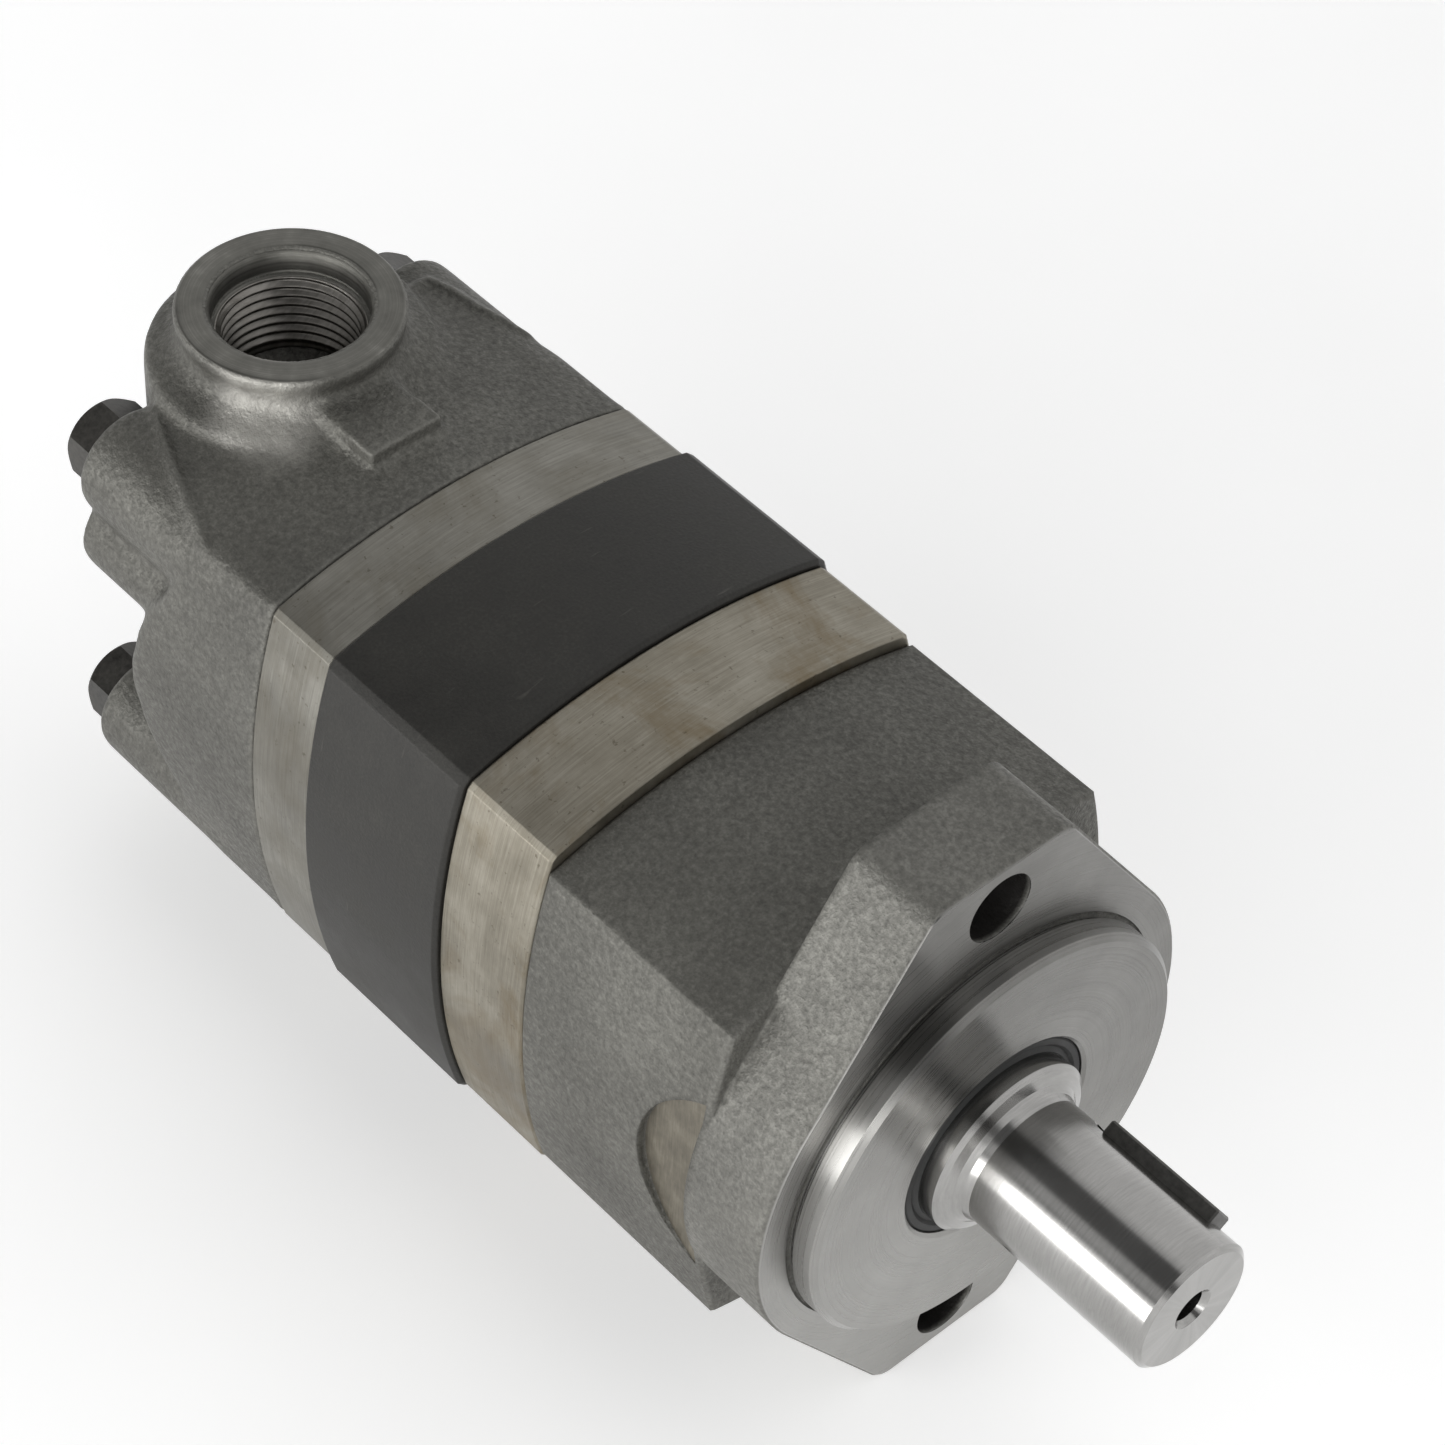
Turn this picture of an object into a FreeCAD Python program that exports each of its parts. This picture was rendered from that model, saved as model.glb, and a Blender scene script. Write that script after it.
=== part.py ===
import FreeCAD, Part
import os
import math
import Sketcher
from FreeCAD import Vector, Placement, Rotation

# Low-speed high-torque orbital hydraulic motor.
# Frame: +X runs along the output shaft and out of the motor, X = 0 is the
# mounting face of the two-bolt flange, +Z is the axis of the upper port.

os.makedirs("parts", exist_ok=True)
doc = FreeCAD.newDocument("HydraulicMotor")
sheet = doc.addObject("Spreadsheet::Sheet", "Params")


class Q:
    """A size: its number and the sheet expression that gives it."""

    def __init__(self, v, e):
        self.v = float(v)
        self.e = e

    def __add__(self, o):
        o = qty(o)
        return Q(self.v + o.v, "(%s + %s)" % (self.e, o.e))

    def __radd__(self, o):
        return qty(o) + self

    def __sub__(self, o):
        o = qty(o)
        return Q(self.v - o.v, "(%s - %s)" % (self.e, o.e))

    def __rsub__(self, o):
        return qty(o) - self

    def __mul__(self, o):
        o = qty(o)
        return Q(self.v * o.v, "(%s * %s)" % (self.e, o.e))

    def __rmul__(self, o):
        return qty(o) * self

    def __truediv__(self, o):
        o = qty(o)
        return Q(self.v / o.v, "(%s / %s)" % (self.e, o.e))

    def __neg__(self):
        return qty(0) - self


def qty(o):
    return o if isinstance(o, Q) else Q(o, repr(float(o)))


class Store:
    pass


S = Store()
row = [0]


def param(alias, value, note):
    row[0] += 1
    sheet.set("A%d" % row[0], alias)
    sheet.set("B%d" % row[0], repr(float(value)))
    sheet.setAlias("B%d" % row[0], alias)
    sheet.set("C%d" % row[0], note)
    setattr(S, alias, Q(value, "Params." + alias))


# ---- stack, along the shaft -------------------------------------------------
param("body_front", -16.6, "front end of the square part of the bearing housing")
param("joint_a", -61.6, "bearing housing to wear plate")
param("joint_b", -83.1, "wear plate to gerotor ring")
param("joint_c", -118.7, "gerotor ring to valve plate")
param("joint_d", -134.65, "valve plate to valve housing")
param("rear_block", -171.5, "rear end of the square part of the valve housing")
param("screw_seat", -188.0, "seat of the cap screw heads")
# ---- outer section ----------------------------------------------------------
param("side_arc", 133.0, "radius of the bulged sides")
param("half_width", 46.0, "half width at mid side")
param("housing_top", 43.4, "half height of the bearing housing, which is flatter")
param("corner_round", 56.0, "turned radius over the corners")
param("ring_half", 47.1, "half width of the gerotor ring")
param("ring_corner", 57.0, "turned radius over the ring corners")
param("edge_break", 0.5, "broken edges of the plates")
# ---- flange -----------------------------------------------------------------
param("flange_thick", 18.0, "flange thickness")
param("flange_end", 62.5, "flange half height")
param("flange_end_half", 15.0, "half width of the flat flange ends")
param("flank_y", 39.41, "where the flanks meet the round sides")
param("flank_z", 27.41, "where the flanks meet the round sides")
param("flange_round", 48.02, "round sides of the flange")
param("flange_corner", 5.5, "corner rounding of the flange ends")
param("pilot_radius", 41.275, "pilot")
param("pilot_height", 6.0, "pilot height")
param("bolt_offset", 53.2, "mounting bolt offset")
param("bolt_hole", 6.75, "mounting bolt hole radius")
# ---- screws -----------------------------------------------------------------
param("screw_pos", 31.3, "cap screw offset in Y and Z")
param("screw_radius", 4.76, "cap screw shank radius")
param("screw_hole", 5.2, "clearance hole radius")
param("screw_tap", 4.8, "tapped hole radius")
param("screw_tip", -40.0, "tip of the cap screws")
param("head_across", 16.6, "head, across corners")
param("head_height", 7.0, "head height")
param("lug_radius", 11.1, "screw lugs of the valve housing")
# ---- shaft and its seals ----------------------------------------------------
param("shaft_end", 51.2, "outer end of the shaft")
param("shaft_radius", 12.7, "shaft nose radius")
param("collar_radius", 17.3, "seal land radius")
param("front_seat", 17.5, "front bearing seat radius")
param("rear_seat", 19.0, "rear bearing seat radius")
param("shoulder", 21.5, "shoulder between the bearings")
param("shaft_back", -59.6, "inner end of the shaft")
param("seal_recess", 20.4, "dust seal recess radius")
param("seal_bore", 24.0, "shaft seal bore radius")
param("front_cup", 27.0, "front cup outer radius")
param("rear_cup", 32.5, "rear cup outer radius")
param("key_width", 6.35, "key width")
param("key_top", 14.95, "distance of the key top from the shaft axis")
param("key_near", 45.0, "outer end of the key")
param("key_far", 20.8, "inner end of the key")
param("key_angle", 33.0, "key direction, from +Y towards +Z, degrees")
param("tap_radius", 3.2, "tapped centre hole radius")
param("tap_depth", 17.0, "tapped centre hole depth")
# ---- splines ----------------------------------------------------------------
param("sp_minor", 12.9, "internal spline minor radius")
param("sp_major", 14.4, "internal spline major radius")
param("sp_space", 3.9, "internal spline space width")
param("sp_root", 12.3, "external spline root radius")
param("sp_tip", 13.85, "external spline tip radius")
param("sp_tooth", 3.0, "external spline tooth width")
param("drive_shank", 8.6, "drive shank radius")
param("plate_bore", 16.2, "bore of the wear plate and the valve plate")
# ---- gear set ---------------------------------------------------------------
param("pitch_rollers", 29.0, "radius of the roller centres")
param("roller_radius", 6.5, "roller radius")
param("eccentric", 2.6, "offset of the star")
param("mesh_gap", 0.04, "running clearance in the mesh")
param("ring_bore", 28.2, "bore of the ring between the rollers")
param("end_gap", 0.04, "end clearance of the gear set")
param("roller_count", 7, "rollers")
# ---- valve ------------------------------------------------------------------
param("valve_radius", 32.0, "disc valve radius")
param("cavity_radius", 35.0, "cavity around the disc valve")
param("valve_back", -149.0, "rear face of the disc valve")
param("cavity_back", -150.5, "rear of the valve cavity")
param("balance_big", 26.95, "balance ring, large step radius")
param("balance_small", 21.95, "balance ring, small step radius")
param("balance_bore", 15.0, "balance ring bore")
param("balance_step", -158.0, "step of the balance ring")
param("balance_back", -164.5, "rear of the balance ring")
param("pocket_ring", 24.5, "radius of the spring and pin circle")
# ---- ports ------------------------------------------------------------------
param("port_x", -179.8, "port axis")
param("port_face", 55.7, "height of the port faces")
param("port_face_radius", 20.7, "radius of the port faces")
param("port_entry", 14.6, "radius of the entry of a port")
param("port_bore", 12.4, "thread bore of a port")
param("port_entry_depth", 5.2, "entry depth")
param("port_depth", 22.0, "depth of the thread bore")
param("boss_radius", 26.4, "radius of the port column")
# ---- face seals -------------------------------------------------------------
param("groove_in", 36.1, "inner radius of the face seal grooves")
param("groove_out", 38.3, "outer radius of the face seal grooves")
param("groove_deep", 2.0, "depth of the face seal grooves")
doc.recompute()

ROT = {"x": Rotation(Vector(0, 1, 0), 90), "y": Rotation(Vector(1, 0, 0), -90),
       "z": Rotation(), "-x": Rotation(Vector(0, 1, 0), -90),
       "-z": Rotation(Vector(1, 0, 0), 180)}
YZ = Rotation(Vector(1, 1, 1), 120)
final = {}


def bind(obj, prop, value):
    value = qty(value)
    if "Params." in value.e:
        obj.setExpression(prop, value.e)
    elif prop.startswith("Placement"):
        pass
    else:
        setattr(obj, prop, value.v)


def place(obj, x, y, z, rot):
    x, y, z = qty(x), qty(y), qty(z)
    obj.Placement = Placement(Vector(x.v, y.v, z.v), rot)
    bind(obj, "Placement.Base.x", x)
    bind(obj, "Placement.Base.y", y)
    bind(obj, "Placement.Base.z", z)


def cyl(name, axis, x, y, z, r, length):
    o = doc.addObject("Part::Cylinder", name)
    o.Radius = qty(r).v
    o.Height = qty(length).v
    bind(o, "Radius", r)
    bind(o, "Height", length)
    place(o, x, y, z, ROT[axis] if isinstance(axis, str) else axis)
    return o


def tube_x(name, x0, x1, r):
    return cyl(name, "x", x0, 0, 0, r, qty(x1) - qty(x0))


def cone(name, axis, x, y, z, r1, r2, length):
    o = doc.addObject("Part::Cone", name)
    o.Radius1 = qty(r1).v
    o.Radius2 = qty(r2).v
    o.Height = qty(length).v
    bind(o, "Radius1", r1)
    bind(o, "Radius2", r2)
    bind(o, "Height", length)
    place(o, x, y, z, ROT[axis] if isinstance(axis, str) else axis)
    return o


def box(name, x, y, z, lx, ly, lz, rot=None):
    o = doc.addObject("Part::Box", name)
    o.Length = qty(lx).v
    o.Width = qty(ly).v
    o.Height = qty(lz).v
    bind(o, "Length", lx)
    bind(o, "Width", ly)
    bind(o, "Height", lz)
    place(o, x, y, z, rot or Rotation())
    return o


def fuse(name, shapes):
    o = doc.addObject("Part::MultiFuse", name)
    o.Shapes = shapes
    o.Refine = True
    return o


def common(name, shapes):
    o = doc.addObject("Part::MultiCommon", name)
    o.Shapes = shapes
    return o


def cut(name, base, tools):
    o = doc.addObject("Part::Cut", name)
    o.Base = base
    if len(tools) == 1:
        o.Tool = tools[0]
    else:
        o.Tool = fuse(name + "_tools", tools)
    return o


def group(name, shapes):
    o = doc.addObject("Part::Compound", name)
    o.Links = shapes
    return o


def keep(label, obj):
    obj.Label = label
    final[label] = obj
    return obj


def origin_plane(body, role):
    for f in body.Origin.OriginFeatures:
        if f.Role == role:
            return f
    raise ValueError(role)


def outline(sk, pts):
    """Closed polygon through pts, every corner held by sheet sizes."""
    n = len(pts)
    pts = [(qty(a), qty(b)) for a, b in pts]
    geo = []
    for i in range(n):
        a, b = pts[i], pts[(i + 1) % n]
        geo.append(Part.LineSegment(Vector(a[0].v, a[1].v, 0), Vector(b[0].v, b[1].v, 0)))
    sk.addGeometry(geo, False)
    con = []
    exprs = []
    for i in range(n):
        con.append(Sketcher.Constraint("Coincident", i, 2, (i + 1) % n, 1))
    for i in range(n):
        x, y = pts[i]
        if abs(x.v) < 1e-9:
            con.append(Sketcher.Constraint("PointOnObject", i, 1, -2))
        else:
            con.append(Sketcher.Constraint("DistanceX", -1, 1, i, 1, x.v))
            if "Params." in x.e:
                exprs.append((len(con) - 1, x.e))
        if abs(y.v) < 1e-9:
            con.append(Sketcher.Constraint("PointOnObject", i, 1, -1))
        else:
            con.append(Sketcher.Constraint("DistanceY", -1, 1, i, 1, y.v))
            if "Params." in y.e:
                exprs.append((len(con) - 1, y.e))
    sk.addConstraint(con)
    for k, e in exprs:
        sk.setExpression("Constraints[%d]" % k, e)


def turned(name, x0, pts):
    """Body of revolution about the motor axis; pts are (x from x0, radius)."""
    body = doc.addObject("PartDesign::Body", name)
    sk = body.newObject("Sketcher::SketchObject", name + "_profile")
    sk.AttachmentSupport = (origin_plane(body, "XY_Plane"), [""])
    sk.MapMode = "FlatFace"
    outline(sk, pts)
    rv = body.newObject("PartDesign::Revolution", name + "_turned")
    rv.Profile = sk
    rv.ReferenceAxis = (sk, ["H_Axis"])
    rv.Angle = 360.0
    body.Tip = rv
    sk.Visibility = False
    place(body, x0, 0, 0, Rotation())
    return body


def prism_x(name, pts, x0, x1):
    """Straight prism along X from a polygon given in Y, Z."""
    sk = doc.addObject("Sketcher::SketchObject", name + "_outline")
    sk.Placement = Placement(Vector(qty(x0).v, 0, 0), YZ)
    bind(sk, "Placement.Base.x", x0)
    outline(sk, pts)
    e = doc.addObject("Part::Extrusion", name)
    e.Base = sk
    e.DirMode = "Normal"
    e.Solid = True
    bind(e, "LengthFwd", qty(x1) - qty(x0))
    return e


def prism_z(name, pts, z0, z1):
    """Straight prism along Z from a polygon given in X, Y."""
    sk = doc.addObject("Sketcher::SketchObject", name + "_outline")
    sk.Placement = Placement(Vector(0, 0, qty(z0).v), Rotation())
    bind(sk, "Placement.Base.z", z0)
    outline(sk, pts)
    e = doc.addObject("Part::Extrusion", name)
    e.Base = sk
    e.DirMode = "Normal"
    e.Solid = True
    bind(e, "LengthFwd", qty(z1) - qty(z0))
    return e


def section(name, x0, x1, hy, hz, corner):
    """Square section with four bulged sides and turned corners."""
    arc = S.side_arc
    length = qty(x1) - qty(x0)
    parts = [cyl(name + "_left", "x", x0, arc - hy, 0, arc, length),
             cyl(name + "_right", "x", x0, hy - arc, 0, arc, length),
             cyl(name + "_low", "x", x0, 0, arc - hz, arc, length),
             cyl(name + "_high", "x", x0, 0, hz - arc, arc, length),
             cyl(name + "_turn", "x", x0, 0, 0, corner, length)]
    return common(name, parts)


def break_edges(name, base, size, planes, min_r=42.0, kind="Part::Chamfer"):
    """Chamfer or round the outer edges that lie in the given X planes."""
    doc.recompute()
    f = doc.addObject(kind, name)
    f.Base = base
    picked = []
    for i, e in enumerate(base.Shape.Edges):
        bb = e.BoundBox
        if bb.XMax - bb.XMin > 1e-4:
            continue
        if not any(abs(bb.XMin - p) < 1e-3 for p in planes):
            continue
        m = e.valueAt((e.FirstParameter + e.LastParameter) / 2)
        if math.hypot(m.y, m.z) < min_r:
            continue
        picked.append((i + 1, size, size))
    f.Edges = picked
    return f


def corners(name, x0, x1, r):
    p = S.screw_pos
    out = []
    for k, (sy, sz) in enumerate([(1, 1), (-1, 1), (-1, -1), (1, -1)]):
        out.append(cyl("%s_%d" % (name, k + 1), "x", x0, p * sy, p * sz, r, qty(x1) - qty(x0)))
    return out


def spline(name, x0, x1, r_lo, r_hi, width):
    """Twelve straight teeth on a cylinder, along X."""
    bars = []
    length = qty(x1) - qty(x0)
    for k in range(6):
        rot = Rotation(Vector(1, 0, 0), 30.0 * k)
        base = rot.multVec(Vector(0, -width.v / 2, -r_hi.v))
        b = doc.addObject("Part::Box", "%s_bar_%d" % (name, k + 1))
        bind(b, "Length", length)
        bind(b, "Width", width)
        bind(b, "Height", r_hi * 2)
        b.Placement = Placement(Vector(qty(x0).v, base.y, base.z), rot)
        bind(b, "Placement.Base.x", x0)
        bars.append(b)
    teeth = common(name + "_teeth", [tube_x(name + "_tips", x0, x1, r_hi), fuse(name + "_bars", bars)])
    return fuse(name, [tube_x(name + "_core", x0, x1, r_lo), teeth])


# =============================================================================
# bearing housing: square casting, two-bolt flange and round pilot
# =============================================================================
sq = section("housing_square", S.joint_a, S.body_front, S.half_width, S.housing_top, S.corner_round)
sq = break_edges("housing_square_edges", sq, 0.6, [S.joint_a.v, S.body_front.v])
e, fh, fy, fz = S.flange_end, S.flange_end_half, S.flank_y, S.flank_z
plate = prism_x("flange_plate", [(fh, e), (-fh, e), (-fy, fz), (-fy, -fz), (-fh, -e), (fh, -e), (fy, -fz), (fy, fz)],
                -S.flange_thick, 0)
doc.recompute()
rounded = doc.addObject("Part::Fillet", "flange_plate_corners")
rounded.Base = plate
picked = []
for i, ed in enumerate(plate.Shape.Edges):
    bb = ed.BoundBox
    if bb.XMax - bb.XMin > 1 and abs(bb.ZMax) > 60 or bb.XMax - bb.XMin > 1 and abs(bb.ZMin) > 60:
        picked.append((i + 1, S.flange_corner.v, S.flange_corner.v))
rounded.Edges = picked
flange_raw = fuse("flange_raw", [rounded, tube_x("flange_sides", -S.flange_thick, 0, S.flange_round)])
flange = break_edges("flange", flange_raw, 0.6, [0.0])
pilot = turned("pilot", 0, [(-2.0, 0), (-2.0, 40.6), (0.7, 40.6), (1.0, S.pilot_radius), (S.pilot_height - 1.1, S.pilot_radius),
                            (S.pilot_height, S.pilot_radius - 1.1), (S.pilot_height, 0)])
groove = turned("pilot_undercut", 0, [(-0.45, 40.6), (-0.45, 41.75), (0.4, 42.0), (0.4, 40.6)])
stock = fuse("housing_stock", [sq, cut("flange_with_undercut", flange, [groove]), pilot])
bore = turned("housing_bore", 0, [(S.pilot_height + 0.5, 0), (S.pilot_height + 0.5, S.seal_recess + 0.7),
                                  (S.pilot_height, S.seal_recess + 0.6), (S.pilot_height - 0.6, S.seal_recess),
                                  (1.5, S.seal_recess), (1.5, 18.3), (-4.0, 18.3),
                                  (-4.0, S.seal_bore), (-14.0, S.seal_bore), (-14.0, S.front_cup + 0.03), (-28.0, S.front_cup + 0.03),
                                  (-28.5, 28.2), (-43.4, 28.2), (-43.4, S.rear_cup + 0.03), (S.joint_a - 0.5, S.rear_cup + 0.03),
                                  (S.joint_a - 0.5, 0)])
seal_cut_a = turned("seal_cut_a", S.joint_a, [(-0.5, S.groove_in), (-0.5, S.groove_out), (S.groove_deep, S.groove_out), (S.groove_deep, S.groove_in)])
holes = [cyl("mount_hole_top", "x", -25, 0, S.bolt_offset, S.bolt_hole, 30),
         cyl("mount_hole_low", "x", -25, 0, -S.bolt_offset, S.bolt_hole, 30)]
taps = corners("housing_tap", S.joint_a - 1, S.screw_tip + 2, S.screw_tap)
spot = cyl("side_spot", ROT["y"], -8.5, -60, 0, 23.5, 15.9)
spot_keep = box("side_spot_limit", -45, -61, -30, 45 - S.flange_thick, 30, 60)
spotface = common("side_spotface", [spot, spot_keep])
keep("bearing_housing", cut("bearing_housing_part", stock, [bore, seal_cut_a, spotface] + holes + taps))

# =============================================================================
# output shaft with key
# =============================================================================
sr = S.shaft_radius
shaft_stock = turned("shaft_stock", 0, [
    (S.shaft_end, 0), (S.shaft_end, sr - 1.0), (S.shaft_end - 0.9, sr), (12.6, sr), (11.2, sr + 0.5), (10.2, sr + 1.6), (9.4, S.collar_radius - 1.0),
    (8.6, S.collar_radius), (-14.6, S.collar_radius), (-14.8, S.front_seat), (-27.5, S.front_seat), (-27.5, S.shoulder),
    (-41.5, S.shoulder), (-41.5, S.rear_seat), (S.shaft_back + 0.8, S.rear_seat), (S.shaft_back, S.rear_seat - 0.8), (S.shaft_back, 0)])
shaft_bore = turned("shaft_bore", S.shaft_back, [(-1, 0), (-1, S.sp_major + 0.5), (0.4, S.sp_major + 0.2), (8.6, S.sp_major + 0.2), (8.6, 13.0),
                                                 (26.6, 13.0), (30.6, 0)])
shaft_spline = spline("shaft_spline", -51.5, -37.5, S.sp_minor, S.sp_major, S.sp_space)
shaft_tap = turned("shaft_tap", S.shaft_end, [(0.5, 0), (0.5, S.tap_radius + 1.4), (0, S.tap_radius + 0.9), (-1.1, S.tap_radius),
                                              (-S.tap_depth, S.tap_radius), (-S.tap_depth - 1.8, 0)])
ka = math.radians(S.key_angle.v)
key_rot = Rotation(Vector(1, 0, 0), S.key_angle.v)


def key_block(name, x0, x1, r0, r1, half):
    o = doc.addObject("Part::Box", name)
    bind(o, "Length", qty(x1) - qty(x0))
    bind(o, "Width", qty(r1) - qty(r0))
    bind(o, "Height", half * 2)
    b = key_rot.multVec(Vector(0, qty(r0).v, -qty(half).v))
    o.Placement = Placement(Vector(qty(x0).v, b.y, b.z), key_rot)
    bind(o, "Placement.Base.x", x0)
    return o


def key_round(name, x, r0, r1, rad):
    b = key_rot.multVec(Vector(0, qty(r0).v, 0))
    o = doc.addObject("Part::Cylinder", name)
    bind(o, "Radius", rad)
    bind(o, "Height", qty(r1) - qty(r0))
    o.Placement = Placement(Vector(qty(x).v, b.y, b.z), key_rot.multiply(Rotation(Vector(1, 0, 0), -90)))
    bind(o, "Placement.Base.x", x)
    return o


half_key = S.key_width / 2
slot = [key_block("keyway", S.key_far - 0.02, S.key_near + 0.02, S.key_top - S.key_width - 0.03, 17, half_key + 0.01),
        key_round("keyway_far", S.key_far, S.key_top - S.key_width - 0.03, 17, half_key + 0.01)]
keep("output_shaft", cut("output_shaft_part", shaft_stock, [shaft_bore, shaft_spline, shaft_tap] + slot))
key_raw = key_block("key_raw", S.key_far, S.key_near, S.key_top - S.key_width, S.key_top, half_key)
doc.recompute()
kf = doc.addObject("Part::Chamfer", "shaft_key_part")
kf.Base = key_raw
kf.Edges = [(i + 1, 0.35, 0.35) for i, ed in enumerate(key_raw.Shape.Edges)]
keep("shaft_key", kf)

# =============================================================================
# seals in the nose
# =============================================================================
cr = S.collar_radius
keep("dust_seal", turned("dust_seal_part", 1.55, [(0, cr + 1.6), (0, S.seal_recess - 0.02), (3.4, S.seal_recess - 0.02), (3.8, S.seal_recess - 0.5),
                                                  (3.8, cr + 1.5), (3.3, cr + 0.9), (3.9, cr + 0.04), (3.2, cr + 0.04), (1.8, cr + 1.0)]))
keep("shaft_seal", turned("shaft_seal_part", -11.5, [(0, cr + 0.05), (0.8, cr + 0.05), (2.2, cr + 1.2), (4.6, cr + 1.5), (4.6, S.seal_bore - 1.6),
                                                     (0.9, S.seal_bore - 1.6), (0.9, S.seal_bore - 0.02), (7.3, S.seal_bore - 0.02), (7.3, cr + 0.9),
                                                     (6.2, cr + 0.05), (5.2, cr + 0.9), (2.6, cr + 0.5), (1.2, cr + 0.9), (0.3, cr + 1.3), (0, cr + 0.9)][:2] +
                          [(2.6, cr + 1.0), (5.2, cr + 0.9), (6.2, cr + 0.05), (6.9, cr + 0.05), (7.3, cr + 0.9), (7.3, S.seal_bore - 0.02),
                           (0.9, S.seal_bore - 0.02), (0.9, S.seal_bore - 1.6), (4.6, S.seal_bore - 1.6), (4.6, cr + 2.2), (2.0, cr + 2.0), (0, cr + 1.2)]))
keep("seal_backup_ring", turned("seal_backup_ring_part", -13.9, [(0, cr + 0.6), (0, S.seal_bore - 0.05), (2.2, S.seal_bore - 0.05), (2.2, cr + 0.6)]))

# =============================================================================
# two tapered bearings
# =============================================================================
TILT = 12.0


def bearing(tag, mid_x, mid_r, rr, length, side, seat, cup_r, cone_lo, cone_hi, cup_lo, cup_hi, rib, count):
    """side +1: the rollers' large ends point to -X; side -1: to +X."""
    t = math.radians(TILT)
    apex = mid_x + side * mid_r / math.tan(t)
    reach = mid_r / math.sin(t)
    d = math.atan(rr / reach)
    gap = 0.06

    def race(x, ang, off):
        return abs(apex - x) * math.tan(ang) + off

    inner = t - d
    outer = t + d
    thick = cone_lo if side > 0 else cone_hi
    thin = cone_hi if side > 0 else cone_lo
    ribx = mid_x - side * (length / 2 * math.cos(t) + rr * math.sin(t) + 0.25)
    keep(tag + "_bearing_cone", turned(tag + "_cone_part", 0, [
        (thick, seat + 0.03), (thick, rib), (ribx, rib), (ribx, race(ribx, inner, -gap)), (thin, race(thin, inner, -gap)), (thin, seat + 0.03)]))
    keep(tag + "_bearing_cup", turned(tag + "_cup_part", 0, [
        (cup_lo, race(cup_lo, outer, gap)), (cup_lo, cup_r), (cup_hi, cup_r), (cup_hi, race(cup_hi, outer, gap))]))
    rollers = []
    pockets = []
    for k in range(count):
        a = 360.0 * k / count
        turn = Rotation(Vector(1, 0, 0), a)
        s0, s1 = reach - length / 2, reach + length / 2
        # roller axis runs from the apex outwards
        ax = Vector(-side * math.cos(t), math.sin(t), 0)
        rot = turn.multiply(Rotation(Vector(0, 0, 1), ax))
        start = Vector(apex, 0, 0) + turn.multVec(ax * s0)
        c = doc.addObject("Part::Cone", "%s_roller_%d" % (tag, k + 1))
        c.Radius1 = s0 * math.tan(d)
        c.Radius2 = s1 * math.tan(d)
        c.Height = length
        c.Placement = Placement(start, rot)
        rollers.append(c)
        p = doc.addObject("Part::Cylinder", "%s_pocket_%d" % (tag, k + 1))
        p.Radius = s1 * math.tan(d) + 0.18
        p.Height = length + 0.5
        p.Placement = Placement(Vector(apex, 0, 0) + turn.multVec(ax * (s0 - 0.25)), rot)
        pockets.append(p)
    keep(tag + "_bearing_rollers", group(tag + "_bearing_rollers_part", rollers))
    lo = mid_x - (length / 2 + 1.5)
    hi = mid_x + (length / 2 + 1.5)
    off = 0.55
    band = turned(tag + "_cage_band", 0, [
        (lo, race(lo, t, off)), (lo, race(lo, t, off + 0.9)), (hi, race(hi, t, off + 0.9)), (hi, race(hi, t, off))])
    keep(tag + "_bearing_cage", cut(tag + "_bearing_cage_part", band, pockets))


bearing("front", -20.8, 22.3, 2.0, 9.0, 1, S.front_seat, S.front_cup, -27.49, -15.2, -25.6, -14.02, 21.9, 20)
bearing("rear", -50.3, 25.2, 2.6, 10.0, -1, S.rear_seat, S.rear_cup, -57.0, -41.51, -57.5, -45.0, 26.1, 20)
keep("bearing_spacer", turned("bearing_spacer_part", S.joint_a, [(0.02, 26.5), (0.02, S.rear_cup - 0.03), (4.05, S.rear_cup - 0.03), (4.05, 27.2)]))

# =============================================================================
# face seals between the sections
# =============================================================================
for n, base, sgn in [(1, S.joint_a, 1), (2, S.joint_b, 1), (3, S.joint_c, -1), (4, S.joint_d, -1)]:
    keep("body_seal_%d" % n, turned("body_seal_%d_part" % n, base, [
        (0.0, S.groove_in + 0.03), (0.0, S.groove_out - 0.03), (sgn * (S.groove_deep - 0.02), S.groove_out - 0.03),
        (sgn * (S.groove_deep - 0.02), S.groove_in + 0.03)]))

# =============================================================================
# wear plate and valve plate
# =============================================================================
wp = section("wear_square", S.joint_b, S.joint_a, S.half_width, S.half_width, S.corner_round)
wp = break_edges("wear_square_edges", wp, S.edge_break.v, [S.joint_a.v, S.joint_b.v])
keep("wear_plate", cut("wear_plate_part", wp, [
    tube_x("wear_bore", S.joint_b - 1, S.joint_a + 1, S.plate_bore),
    turned("seal_cut_b", S.joint_b, [(-0.5, S.groove_in), (-0.5, S.groove_out), (S.groove_deep, S.groove_out), (S.groove_deep, S.groove_in)])]
    + corners("wear_hole", S.joint_b - 1, S.joint_a + 1, S.screw_hole)))

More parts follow.
